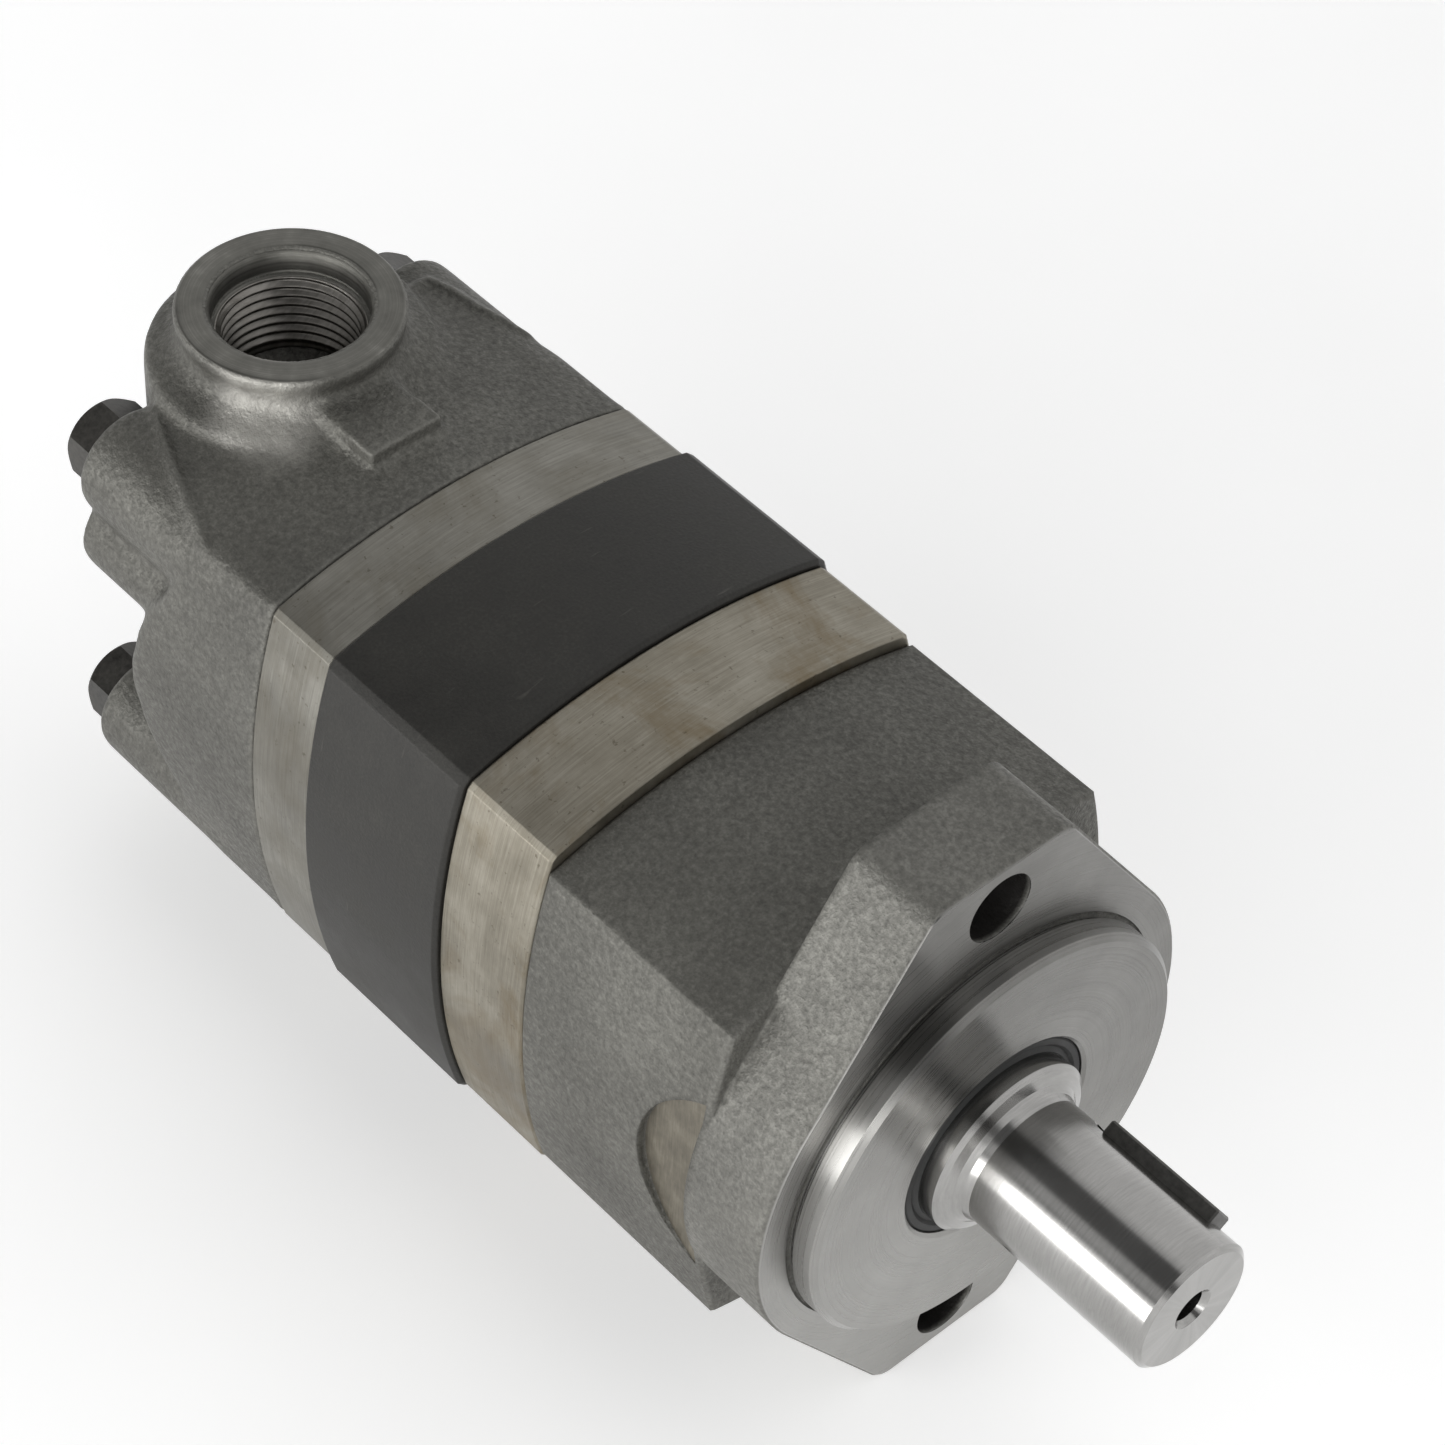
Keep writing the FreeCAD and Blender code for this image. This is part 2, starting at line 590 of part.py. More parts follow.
vp = section("valve_square", S.joint_d, S.joint_c, S.half_width, S.half_width, S.corner_round)
vp = break_edges("valve_square_edges", vp, S.edge_break.v, [S.joint_c.v, S.joint_d.v])
ports = []
for k in range(7):
    a = 2 * math.pi * (k + 0.5) / 7
    ports.append(cyl("timing_hole_%d" % (k + 1), "x", S.joint_d - 1, 25.4 * math.cos(a), 25.4 * math.sin(a), 2.7, S.joint_c - S.joint_d + 2))
keep("valve_plate", cut("valve_plate_part", vp, [
    tube_x("valve_plate_bore", S.joint_d - 1, S.joint_c + 1, S.plate_bore),
    turned("seal_cut_c", S.joint_c, [(0.5, S.groove_in), (0.5, S.groove_out), (-S.groove_deep, S.groove_out), (-S.groove_deep, S.groove_in)])]
    + ports + corners("valve_plate_hole", S.joint_d - 1, S.joint_c + 1, S.screw_hole)))

# =============================================================================
# gear set: ring, seven rollers, six-lobe star
# =============================================================================
gr = section("ring_square", S.joint_c, S.joint_b, S.ring_half, S.ring_half, S.ring_corner)
gr = break_edges("ring_square_edges", gr, 0.7, [S.joint_b.v, S.joint_c.v])
cells = []
for k in range(7):
    a = 2 * math.pi * k / 7
    cells.append(cyl("ring_cell_%d" % (k + 1), "x", S.joint_c - 1, S.pitch_rollers * math.cos(a), S.pitch_rollers * math.sin(a),
                     S.roller_radius + S.mesh_gap, S.joint_b - S.joint_c + 2))
keep("gerotor_ring", cut("gerotor_ring_part", gr, [tube_x("ring_bore_cut", S.joint_c - 1, S.joint_b + 1, S.ring_bore)] + cells
                         + corners("ring_hole", S.joint_c - 1, S.joint_b + 1, S.screw_hole)))
for k in range(7):
    a = 2 * math.pi * k / 7
    r = cyl("roller_raw_%d" % (k + 1), "x", S.joint_c + S.end_gap, S.pitch_rollers * math.cos(a), S.pitch_rollers * math.sin(a),
            S.roller_radius, S.joint_b - S.joint_c - 2 * S.end_gap)
    keep("roller_%d" % (k + 1), r)

# star outline: the roller envelope, offset inwards by the roller radius and the
# running gap; sizes are read from the sheet
rp = float(sheet.pitch_rollers)
ec = float(sheet.eccentric)
rr = float(sheet.roller_radius) + float(sheet.mesh_gap)
x_lo = float(sheet.joint_c) + float(sheet.end_gap)
x_hi = float(sheet.joint_b) - float(sheet.end_gap)
pts = []
N = 144
for i in range(N):
    p = 2 * math.pi * i / N
    ly = rp * math.cos(p) - ec * math.cos(7 * p)
    lz = rp * math.sin(p) - ec * math.sin(7 * p)
    ty = -rp * math.sin(p) + 7 * ec * math.sin(7 * p)
    tz = rp * math.cos(p) - 7 * ec * math.cos(7 * p)
    n = math.hypot(ty, tz)
    # inward normal of a curve run counter-clockwise
    pts.append(Vector(x_lo, ly - tz / n * rr + 0.0, lz + ty / n * rr))
curve = Part.BSplineCurve()
curve.interpolate(pts, PeriodicFlag=True)
star_face = Part.Face(Part.Wire(curve.toShape()))
star_raw = doc.addObject("Part::Feature", "star_raw")
star_raw.Shape = star_face.extrude(Vector(x_hi - x_lo, 0, 0))
star_spline = spline("star_spline", S.joint_c - 1, S.joint_b + 1, S.sp_minor, S.sp_major, S.sp_space)
star = cut("gerotor_star_part", star_raw, [star_spline])
star.Placement = Placement(Vector(0, ec, 0), Rotation())
star.setExpression("Placement.Base.y", "Params.eccentric")
keep("gerotor_star", star)

# =============================================================================
# drives
# =============================================================================
front_pivot = -43.0
star_front = -93.0
star_rear = -109.0
valve_pivot = -145.6


def drive(label, pivot, star_x, ends, lead):
    """Drive modelled on its own axis with its pivot at the local origin."""
    reach = star_x - pivot
    half = 4.0
    a = spline(label + "_head_a", -half, half, S.sp_root, S.sp_tip, S.sp_tooth)
    b = spline(label + "_head_b", reach - half, reach + half, S.sp_root, S.sp_tip, S.sp_tooth)
    lo, hi = ends
    shank = turned(label + "_shank", 0, [
        (lo, 0), (lo, 9.5), (lo + 1.2, S.sp_root - 0.4), (min(0, reach) + half + 1.5, S.sp_root - 0.4), (min(0, reach) + half + 4.5, S.drive_shank),
        (max(0, reach) - half - 4.5, S.drive_shank), (max(0, reach) - half - 1.5, S.sp_root - 0.4), (hi - 1.2, S.sp_root - 0.4), (hi, 9.5), (hi, 0)])
    o = fuse(label + "_part", [shank, a, b])
    ang = math.degrees(math.atan2(ec, reach if reach > 0 else -reach))
    ang = ang if reach > 0 else -ang
    o.Placement = Placement(Vector(pivot, 0, 0), Rotation(Vector(0, 0, 1), ang))
    keep(label, o)


drive("main_drive", front_pivot, star_front, (star_front - front_pivot - 6.6, 6.0), 0)
drive("valve_drive", valve_pivot, star_rear, (-4.3, star_rear - valve_pivot + 4.1), 0)
spacer = turned("drive_spacer_part", -104.0 + 0.35, [(0, 0), (0, 9.0), (0.8, 12.3), (2.6, 12.3), (3.4, 9.0), (3.4, 0)])
spacer.setExpression("Placement.Base.y", "Params.eccentric")
keep("drive_spacer", spacer)

# =============================================================================
# disc valve and balance ring
# =============================================================================
vf = S.joint_d - 0.03
disc = turned("disc_stock", S.valve_back, [(0, 12.0), (0, S.valve_radius - 0.8), (0.8, S.valve_radius), (vf - S.valve_back - 0.5, S.valve_radius),
                                           (vf - S.valve_back, S.valve_radius - 0.5), (vf - S.valve_back, 12.0)])
tools = [tube_x("disc_bore", -141.6, vf + 1, 14.8),
         spline("disc_spline", S.valve_back - 1, -141.0, S.sp_minor, S.sp_major, S.sp_space)]
for k in range(6):
    a = math.radians(60 * k + 15)
    b = math.radians(60 * k + 45)
    rot = Rotation(Vector(1, 0, 0), 60 * k + 15)
    o = doc.addObject("Part::Box", "valve_slot_%d" % (k + 1))
    o.Length, o.Width, o.Height = 6.0, 12.0, 5.0
    v = rot.multVec(Vector(0, 23.0, -2.5))
    o.Placement = Placement(Vector(-139.5, v.y, v.z), rot)
    tools.append(o)
    tools.append(cyl("valve_cup_%d" % (k + 1), "x", -140.2, 25.4 * math.cos(b), 25.4 * math.sin(b), 2.6, 7))
    rad = doc.addObject("Part::Cylinder", "valve_drill_%d" % (k + 1))
    rad.Radius, rad.Height = 1.7, 14.0
    u = Vector(0, math.cos(b), math.sin(b))
    rad.Placement = Placement(Vector(-138.4, u.y * 12, u.z * 12), Rotation(Vector(0, 0, 1), u))
    tools.append(rad)
keep("disc_valve", cut("disc_valve_part", disc, tools))

bf = S.valve_back - 0.04
ring = turned("balance_stock", S.balance_back, [
    (0, S.balance_bore), (0, S.balance_small), (3.0, S.balance_small), (3.0, S.balance_small - 2.3), (5.2, S.balance_small - 2.3), (5.2, S.balance_small),
    (S.balance_step - S.balance_back, S.balance_small), (S.balance_step - S.balance_back, S.balance_big), (9.7, S.balance_big), (9.7, S.balance_big - 2.3),
    (12.1, S.balance_big - 2.3), (12.1, S.balance_big), (bf - S.balance_back, S.balance_big), (bf - S.balance_back, S.balance_bore)])
pr = S.pocket_ring
pin_angles = [60, 240]
spring_angles = [0, 120, 180, 300]
pin_holes = []
for k, d in enumerate(pin_angles):
    a = math.radians(d)
    pin_holes.append(cyl("ring_pin_hole_%d" % (k + 1), "x", S.balance_step - 1, pr * math.cos(a), pr * math.sin(a), 1.6, 3.2))
keep("balance_ring", cut("balance_ring_part", ring, pin_holes))
keep("balance_seal_outer", turned("balance_seal_outer_part", S.balance_back, [
    (9.75, S.balance_big - 2.25), (12.05, S.balance_big - 2.25), (12.05, S.balance_big - 0.02), (9.75, S.balance_big - 0.02)]))
keep("balance_seal_inner", turned("balance_seal_inner_part", S.balance_back, [
    (3.05, S.balance_small - 2.25), (5.15, S.balance_small - 2.25), (5.15, S.balance_small - 0.02), (3.05, S.balance_small - 0.02)]))
pins = []
for k, d in enumerate(pin_angles):
    a = math.radians(d)
    pins.append(cyl("balance_pin_%d" % (k + 1), "x", -165.0, pr * math.cos(a), pr * math.sin(a), 1.5, 8.6))
keep("balance_pins", group("balance_pins_part", pins))

# coil springs: swept wire on a helix, sizes read from the sheet
springs = []
for k, d in enumerate(spring_angles):
    a = math.radians(d)
    prv = float(sheet.pocket_ring)
    helix = Part.makeHelix(1.3, 7.5, 1.45)
    wire_r = 0.32
    start = helix.Edges[0].valueAt(helix.Edges[0].FirstParameter)
    tang = helix.Edges[0].tangentAt(helix.Edges[0].FirstParameter)
    ring_w = Part.Wire(Part.makeCircle(wire_r, start, tang))
    coil = Part.Wire(helix.Edges).makePipeShell([ring_w], True, True)
    coil.Placement = Placement(Vector(-166.2, prv * math.cos(a), prv * math.sin(a)), ROT["x"])
    f = doc.addObject("Part::Feature", "balance_spring_%d" % (k + 1))
    f.Shape = coil
    springs.append(f)
keep("balance_springs", group("balance_springs_part", springs))

# =============================================================================
# valve housing: rear casting with two ports
# =============================================================================
px, pf = S.port_x, S.port_face
vs = section("valve_block", -151.0, S.joint_d, S.half_width, S.half_width, S.corner_round)
vs = break_edges("valve_block_edges", vs, S.edge_break.v, [S.joint_d.v])
# behind the square block the corners fall away and leave a side wall with a
# swept rear edge, a top and bottom wall that taper into the port column, and
# four round screw lugs
wing_stock = section("wing_stock", -186.0, -150.0, S.half_width, S.half_width, S.corner_round)
sweep = [(-149.0, -42.0), (-151.0, -39.0), (-156.0, -33.0), (-161.0, -26.5), (-165.5, -19.0), (-169.0, -10.5), (-170.6, -3.0),
         (-170.6, 3.0), (-169.0, 10.5), (-165.5, 19.0), (-161.0, 26.5), (-156.0, 33.0), (-151.0, 39.0), (-149.0, 42.0)]
side_profile = doc.addObject("Sketcher::SketchObject", "side_wall_outline")
side_profile.Placement = Placement(Vector(0, 50, 0), Rotation(Vector(1, 0, 0), 90))
outline(side_profile, sweep)
side_prism = doc.addObject("Part::Extrusion", "side_wall_prism")
side_prism.Base = side_profile
side_prism.DirMode = "Normal"
side_prism.Solid = True
side_prism.LengthFwd = 100
top_prism = prism_z("top_wall_prism", [(-149.0, -42.0), (-153.0, -40.6), (-180.0, -28.9), (-186.0, -25.5), (-186.0, 25.5), (-180.0, 28.9),
                                       (-153.0, 40.6), (-149.0, 42.0)], -50, 50)
wings = common("wings", [wing_stock, fuse("wing_prisms", [side_prism, top_prism])])
skirt_pts = [(0.0, 0.0), (0.0, S.boss_radius)]
for k in range(1, 7):
    a = math.radians(15.0 * k)
    # concave quarter from the column radius in to the neck under the face disc
    skirt_pts.append((5.6 * (1 - math.cos(a)), S.boss_radius - 6.6 * math.sin(a)))
skirt_pts += [(pf - 49.3, S.boss_radius - 6.6), (pf - 48.6, S.port_face_radius + 0.2), (pf - 46.5, S.port_face_radius + 0.2),
              (pf - 46.0, S.port_face_radius - 0.4), (pf - 46.0, 0.0)]


def boss(name, sgn):
    body = turned(name, 0, skirt_pts)
    body.Placement = Placement(Vector(px.v, 0, sgn * 46.0), Rotation(Vector(0, 1, 0), -90 * sgn))
    return body


for_top = boss("boss_top", 1)
for_low = boss("boss_low", -1)
for bb_ in (for_top, for_low):
    bb_.setExpression("Placement.Base.x", "Params.port_x")
# the screw heads sit in notches milled into the column
column = cut("notched_column", cyl("port_column", "z", px, 0, -46, S.boss_radius, 92), corners("head_notch", S.screw_seat - 25, S.screw_seat + 1.3, 8.9))
solids = [vs, wings, column, for_top, for_low]
solids += corners("lug", S.screw_seat, -150.5, S.lug_radius)
solids.append(prism_z("top_pad", [(-160.5, -9.5), (-160.5, 6.5), (-145.5, 6.5), (-145.5, -9.5)], 40, 49.6))
solids.append(cyl("drain_boss", "x", -187.9, -34.0, 17.3, 9.0, 29.3))
casting = fuse("casting", solids)
cav = turned("valve_cavity", 0, [
    (S.joint_d + 1, 0), (S.joint_d + 1, S.cavity_radius), (S.cavity_back, S.cavity_radius), (S.cavity_back, S.balance_big + 0.05),
    (S.balance_step - 0.6, S.balance_big + 0.05), (S.balance_step - 0.6, S.balance_small + 0.05), (S.balance_back - 1.0, S.balance_small + 0.05),
    (S.balance_back - 1.0, 14.0), (-183.0, 14.0), (-186.0, 0)])
cuts = [cav,
        turned("seal_cut_d", S.joint_d, [(0.5, S.groove_in), (0.5, S.groove_out), (-S.groove_deep, S.groove_out), (-S.groove_deep, S.groove_in)])]
cuts += corners("valve_housing_hole", S.screw_seat - 1, S.joint_d + 1, S.screw_hole)
for tag, axis, sgn in [("top", "-z", 1), ("low", "z", -1)]:
    cuts += [cyl("port_entry_" + tag, axis, px, 0, sgn * (pf + 1), S.port_entry, S.port_entry_depth + 1),
             cone("port_lip_" + tag, axis, px, 0, sgn * (pf - S.port_entry_depth), S.port_entry, S.port_bore, 1.0),
             cyl("port_bore_" + tag, axis, px, 0, sgn * (pf + 1), S.port_bore, S.port_depth + 1),
             cone("port_bottom_" + tag, axis, px, 0, sgn * (pf - S.port_depth), S.port_bore, 3.0, 4.5)]
p0 = Vector(-184.0, 0, 41.5)
p1 = Vector(-142.0, 0, 32.6)
drill = doc.addObject("Part::Cylinder", "passage_top")
drill.Radius = 4.5
drill.Height = (p1 - p0).Length
drill.Placement = Placement(p0, Rotation(Vector(0, 0, 1), p1 - p0))
cuts.append(drill)
cuts.append(cyl("passage_low", "z", px, 0, -36, 6.5, 36))
for k, d in enumerate(spring_angles):
    a = math.radians(d)
    cuts.append(cyl("spring_pocket_%d" % (k + 1), "x", -166.6, pr * math.cos(a), pr * math.sin(a), 2.15, 9))
for k, d in enumerate(pin_angles):
    a = math.radians(d)
    cuts.append(cyl("pin_pocket_%d" % (k + 1), "x", -165.2, pr * math.cos(a), pr * math.sin(a), 1.52, 8))
# case drain: small threaded port in the side boss and a drill into the cavity
cuts += [cyl("drain_entry", "x", -189.3, -34.0, 17.3, 5.7, 3.6), cyl("drain_bore", "x", -189.3, -34.0, 17.3, 4.8, 15.5),
         cyl("drain_drill", "x", -174.8, -31.2, 17.0, 1.5, 29.0)]
keep("valve_housing", cut("valve_housing_part", casting, cuts))

# case drain plug and its ring
plug_hex = doc.addObject("Part::Prism", "plug_socket")
plug_hex.Polygon = 6
plug_hex.Circumradius = 2.7
plug_hex.Height = 5
plug_hex.Placement = Placement(Vector(-189.6, -34.0, 17.3), ROT["x"])
plug_raw = turned("plug_raw", -191.5, [(0, 0), (0, 5.4), (0.4, 5.8), (1.45, 5.8), (1.45, 4.4), (3.8, 4.4), (4.0, 4.75), (13.0, 4.75), (13.6, 4.2), (13.6, 0)])
plug_raw.Placement = Placement(Vector(-189.5, -34.0, 17.3), Rotation())
keep("case_drain_plug", cut("case_drain_plug_part", plug_raw, [plug_hex]))
ring_o = doc.addObject("Part::Torus", "drain_plug_seal_part")
ring_o.Radius1 = 5.05
ring_o.Radius2 = 0.6
ring_o.Placement = Placement(Vector(-187.1, -34.0, 17.3), ROT["x"])
keep("drain_plug_seal", ring_o)

# =============================================================================
# four cap screws, one group of separate solids
# =============================================================================
screws = []
for k, (sy, sz) in enumerate([(1, 1), (-1, 1), (-1, -1), (1, -1)]):
    p = S.screw_pos
    shank = cyl("screw_shank_%d" % (k + 1), "x", S.screw_seat, p * sy, p * sz, S.screw_radius, S.screw_tip - S.screw_seat)
    head = doc.addObject("Part::Prism", "screw_head_%d" % (k + 1))
    head.Polygon = 6
    bind(head, "Circumradius", S.head_across / 2)
    bind(head, "Height", S.head_height)
    place(head, S.screw_seat - S.head_height - 0.8, p * sy, p * sz, ROT["x"])
    cap = cone("screw_crown_%d" % (k + 1), "x", S.screw_seat - S.head_height - 1.6, p * sy, p * sz, 6.4, 8.4, 2.0)
    lim = cyl("screw_limit_%d" % (k + 1), "x", S.screw_seat - S.head_height + 0.4, p * sy, p * sz, 8.4, S.head_height)
    crowned = common("screw_hex_%d" % (k + 1), [head, fuse("screw_cap_%d" % (k + 1), [cap, lim])])
    washer = cyl("screw_flange_%d" % (k + 1), "x", S.screw_seat - 0.8, p * sy, p * sz, 8.2, 0.8)
    screws.append(fuse("screw_%d" % (k + 1), [shank, crowned, washer]))
keep("cap_screws", group("cap_screws_part", screws))

# =============================================================================
# checks and export
# =============================================================================
doc.recompute()
bad = []
for o in doc.Objects:
    if "Invalid" in o.State or "Error" in o.State:
        bad.append((o.Name, o.State))
for label, o in final.items():
    if o.Shape.isNull() or not o.Shape.isValid():
        bad.append((label, "shape"))
if bad:
    print("BAD", bad)
for label, o in final.items():
    sh = o.Shape
    print("%-22s solids %2d  vol %10.1f  x %8.2f %8.2f  y %7.2f %7.2f  z %7.2f %7.2f" % (
        label, len(sh.Solids), sh.Volume, sh.BoundBox.XMin, sh.BoundBox.XMax, sh.BoundBox.YMin, sh.BoundBox.YMax, sh.BoundBox.ZMin, sh.BoundBox.ZMax))
    sh.exportStep("parts/%s.step" % label)
print("nodes", len(final), "bad", len(bad))
if bad:
    raise SystemExit(1)
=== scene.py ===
import bpy
import bmesh
import math
import numpy as np
from mathutils import Matrix, Vector


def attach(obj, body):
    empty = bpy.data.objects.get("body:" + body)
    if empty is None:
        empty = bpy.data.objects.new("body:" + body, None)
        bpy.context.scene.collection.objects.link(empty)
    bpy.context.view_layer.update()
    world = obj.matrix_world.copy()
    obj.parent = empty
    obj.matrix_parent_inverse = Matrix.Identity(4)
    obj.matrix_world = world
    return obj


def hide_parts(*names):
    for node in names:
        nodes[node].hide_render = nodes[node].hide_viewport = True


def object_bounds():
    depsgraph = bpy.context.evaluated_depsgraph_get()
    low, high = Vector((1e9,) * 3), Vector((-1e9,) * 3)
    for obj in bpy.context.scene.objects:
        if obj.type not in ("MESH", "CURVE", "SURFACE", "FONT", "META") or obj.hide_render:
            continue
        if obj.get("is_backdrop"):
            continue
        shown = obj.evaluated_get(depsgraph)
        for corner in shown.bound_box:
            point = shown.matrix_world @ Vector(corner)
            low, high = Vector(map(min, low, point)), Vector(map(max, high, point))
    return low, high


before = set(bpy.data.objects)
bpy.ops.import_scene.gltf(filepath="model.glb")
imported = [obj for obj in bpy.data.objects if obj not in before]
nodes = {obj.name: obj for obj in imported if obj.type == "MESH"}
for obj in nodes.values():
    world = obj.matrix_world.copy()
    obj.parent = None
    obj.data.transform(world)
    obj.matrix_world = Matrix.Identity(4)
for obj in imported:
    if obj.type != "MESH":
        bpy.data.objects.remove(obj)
box0 = [list(v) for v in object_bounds()]


# ----------------------------------------------------------------------------
# node helpers
# ----------------------------------------------------------------------------
class Mat:
    """Small wrapper that builds one procedural material."""

    def __init__(self, name):
        self.m = bpy.data.materials.new(name)
        self.m.use_nodes = True
        self.t = self.m.node_tree
        for n in list(self.t.nodes):
            self.t.nodes.remove(n)
        self.out = self.t.nodes.new("ShaderNodeOutputMaterial")
        self.bsdf = self.t.nodes.new("ShaderNodeBsdfPrincipled")
        self.link(self.bsdf.outputs[0], self.out.inputs[0])
        self.co = self.t.nodes.new("ShaderNodeTexCoord").outputs["Object"]

    def link(self, a, b):
        self.t.links.new(a, b)

    def put(self, sock, v):
        if isinstance(v, bpy.types.NodeSocket):
            self.link(v, sock)
        elif isinstance(v, (tuple, list)) and len(v) == 3 and len(sock.default_value) == 4:
            sock.default_value = (*v, 1.0)
        else:
            sock.default_value = v

    def math(self, op, a, b=0.0, clamp=False):
        n = self.t.nodes.new("ShaderNodeMath")
        n.operation = op
        n.use_clamp = clamp
        self.put(n.inputs[0], a)
        self.put(n.inputs[1], b)
        return n.outputs[0]

    def vec(self, op, a, b=(0, 0, 0)):
        n = self.t.nodes.new("ShaderNodeVectorMath")
        n.operation = op
        self.put(n.inputs[0], a)
        if op == "SCALE":
            self.put(n.inputs["Scale"], b)
            return n.outputs[0]
        self.put(n.inputs[1], b)
        return n.outputs["Value"] if op in ("LENGTH", "DOT_PRODUCT", "DISTANCE") else n.outputs[0]

    def scaled(self, s, co=None):
        n = self.t.nodes.new("ShaderNodeMapping")
        n.inputs["Scale"].default_value = s if isinstance(s, tuple) else (s, s, s)
        self.link(co or self.co, n.inputs["Vector"])
        return n.outputs[0]

    def noise(self, scale, detail=4.0, rough=0.6, co=None, distortion=0.0):
        n = self.t.nodes.new("ShaderNodeTexNoise")
        n.inputs["Scale"].default_value = scale
        n.inputs["Detail"].default_value = detail
        n.inputs["Roughness"].default_value = rough
        n.inputs["Distortion"].default_value = distortion
        self.link(co or self.co, n.inputs["Vector"])
        return n.outputs["Fac"]

    def voronoi(self, scale, feature="F1", co=None, rnd=1.0):
        n = self.t.nodes.new("ShaderNodeTexVoronoi")
        n.feature = feature
        n.inputs["Scale"].default_value = scale
        n.inputs["Randomness"].default_value = rnd
        self.link(co or self.co, n.inputs["Vector"])
        return n.outputs["Distance"]

    def ramp(self, fac, stops):
        n = self.t.nodes.new("ShaderNodeValToRGB")
        el = n.color_ramp.elements
        while len(el) > 1:
            el.remove(el[0])
        for i, (p, c) in enumerate(stops):
            e = el[0] if i == 0 else el.new(p)
            e.position = p
            e.color = (*c, 1.0) if isinstance(c, (tuple, list)) else (c, c, c, 1.0)
        self.link(fac, n.inputs[0])
        return n.outputs[0]

    def rng(self, v, a, b, c=0.0, d=1.0, smooth=False):
        n = self.t.nodes.new("ShaderNodeMapRange")
        if smooth:
            n.interpolation_type = "SMOOTHSTEP"
        n.inputs["From Min"].default_value = a
        n.inputs["From Max"].default_value = b
        self.put(n.inputs["To Min"], c)
        self.put(n.inputs["To Max"], d)
        self.link(v, n.inputs["Value"])
        return n.outputs[0]

    def mix(self, fac, a, b):
        n = self.t.nodes.new("ShaderNodeMix")
        n.data_type = "RGBA"
        self.put(n.inputs["Factor"], fac)
        self.put(n.inputs["A"] if False else n.inputs[6], a)
        self.put(n.inputs[7], b)
        return n.outputs[2]

    def mixf(self, fac, a, b):
        n = self.t.nodes.new("ShaderNodeMix")
        n.data_type = "FLOAT"
        self.put(n.inputs[0], fac)
        self.put(n.inputs[2], a)
        self.put(n.inputs[3], b)
        return n.outputs[0]

    def sep(self, v=None):
        n = self.t.nodes.new("ShaderNodeSeparateXYZ")
        self.link(v or self.co, n.inputs[0])
        return n.outputs

    def comb(self, x, y, z):
        n = self.t.nodes.new("ShaderNodeCombineXYZ")
        for s, v in zip(n.inputs, (x, y, z)):
            self.put(s, v)
        return n.outputs[0]

    def bump(self, height, strength=0.5, dist=0.0002, normal=None):
        n = self.t.nodes.new("ShaderNodeBump")
        self.put(n.inputs["Strength"], strength)
        n.inputs["Distance"].default_value = dist
        self.link(height, n.inputs["Height"])
        if normal is not None:
            self.link(normal, n.inputs["Normal"])
        return n.outputs[0]

    def soft_edges(self, radius):
        n = self.t.nodes.new("ShaderNodeBevel")
        n.samples = 4
        n.inputs["Radius"].default_value = radius
        return n.outputs[0]

    def pointy(self):
        g = self.t.nodes.new("ShaderNodeNewGeometry")
        return g.outputs["Pointiness"]

    def normal_z(self):
        g = self.t.nodes.new("ShaderNodeTexCoord")
        return self.sep(g.outputs["Normal"])[2]

    def set(self, **kw):
        for k, v in kw.items():
            self.put(self.bsdf.inputs[k.replace("_", " ")], v)
        return self.m


def lin(v):
    """sRGB 0-255 grey or triple to linear."""
    if isinstance(v, (int, float)):
        v = (v, v, v)
    out = []
    for c in v:
        c = c / 255.0
        out.append(c / 12.92 if c <= 0.04045 else ((c + 0.055) / 1.055) ** 2.4)
    return tuple(out)


# ----------------------------------------------------------------------------
# materials
# ----------------------------------------------------------------------------
def cast_layers(b):
    """Height and tone of sand-cast iron: even sand grain, soft lumps and a few pits."""
    fine = b.noise(2100.0, 3.0, 0.6)
    sand = b.noise(900.0, 3.0, 0.6)
    lumps = b.noise(300.0, 3.0, 0.5)
    broad = b.noise(38.0, 3.0, 0.5)
    pits = b.rng(b.voronoi(620.0), 0.08, 0.45, 0.0, 1.0)
    h = b.math("ADD", b.math("MULTIPLY", fine, 0.5), b.math("MULTIPLY", sand, 1.0))
    h = b.math("ADD", h, b.math("MULTIPLY", lumps, 0.6))
    h = b.math("ADD", h, b.math("MULTIPLY", pits, 0.25))
    return h, fine, sand, lumps, broad


def cast_colour(b, dark, mid, light, fine, sand, broad):
    tone = b.math("ADD", b.math("MULTIPLY", sand, 0.4), b.math("MULTIPLY", fine, 0.3))
    tone = b.math("ADD", tone, b.math("MULTIPLY", broad, 0.3))
    return b.ramp(tone, [(0.34, dark), (0.5, mid), (0.68, light)])


def turned_steel(b, amp=1.0, freq=2600.0):
    """Fine concentric lathe marks about the shaft axis."""
    x, y, z = b.sep()
    r = b.math("SQRT", b.math("ADD", b.math("MULTIPLY", y, y), b.math("MULTIPLY", z, z)))
    wob = b.noise(60.0, 2.0, 0.5)
    rr = b.comb(b.math("MULTIPLY", r, freq), b.math("MULTIPLY", x, freq), b.math("MULTIPLY", wob, 0.6))
    lines = b.noise(1.0, 3.0, 0.75, co=rr)
    return lines, r


def tangent_x(b):
    t = b.t.nodes.new("ShaderNodeTangent")
    t.direction_type = "RADIAL"
    t.axis = "X"
    return t.outputs[0]


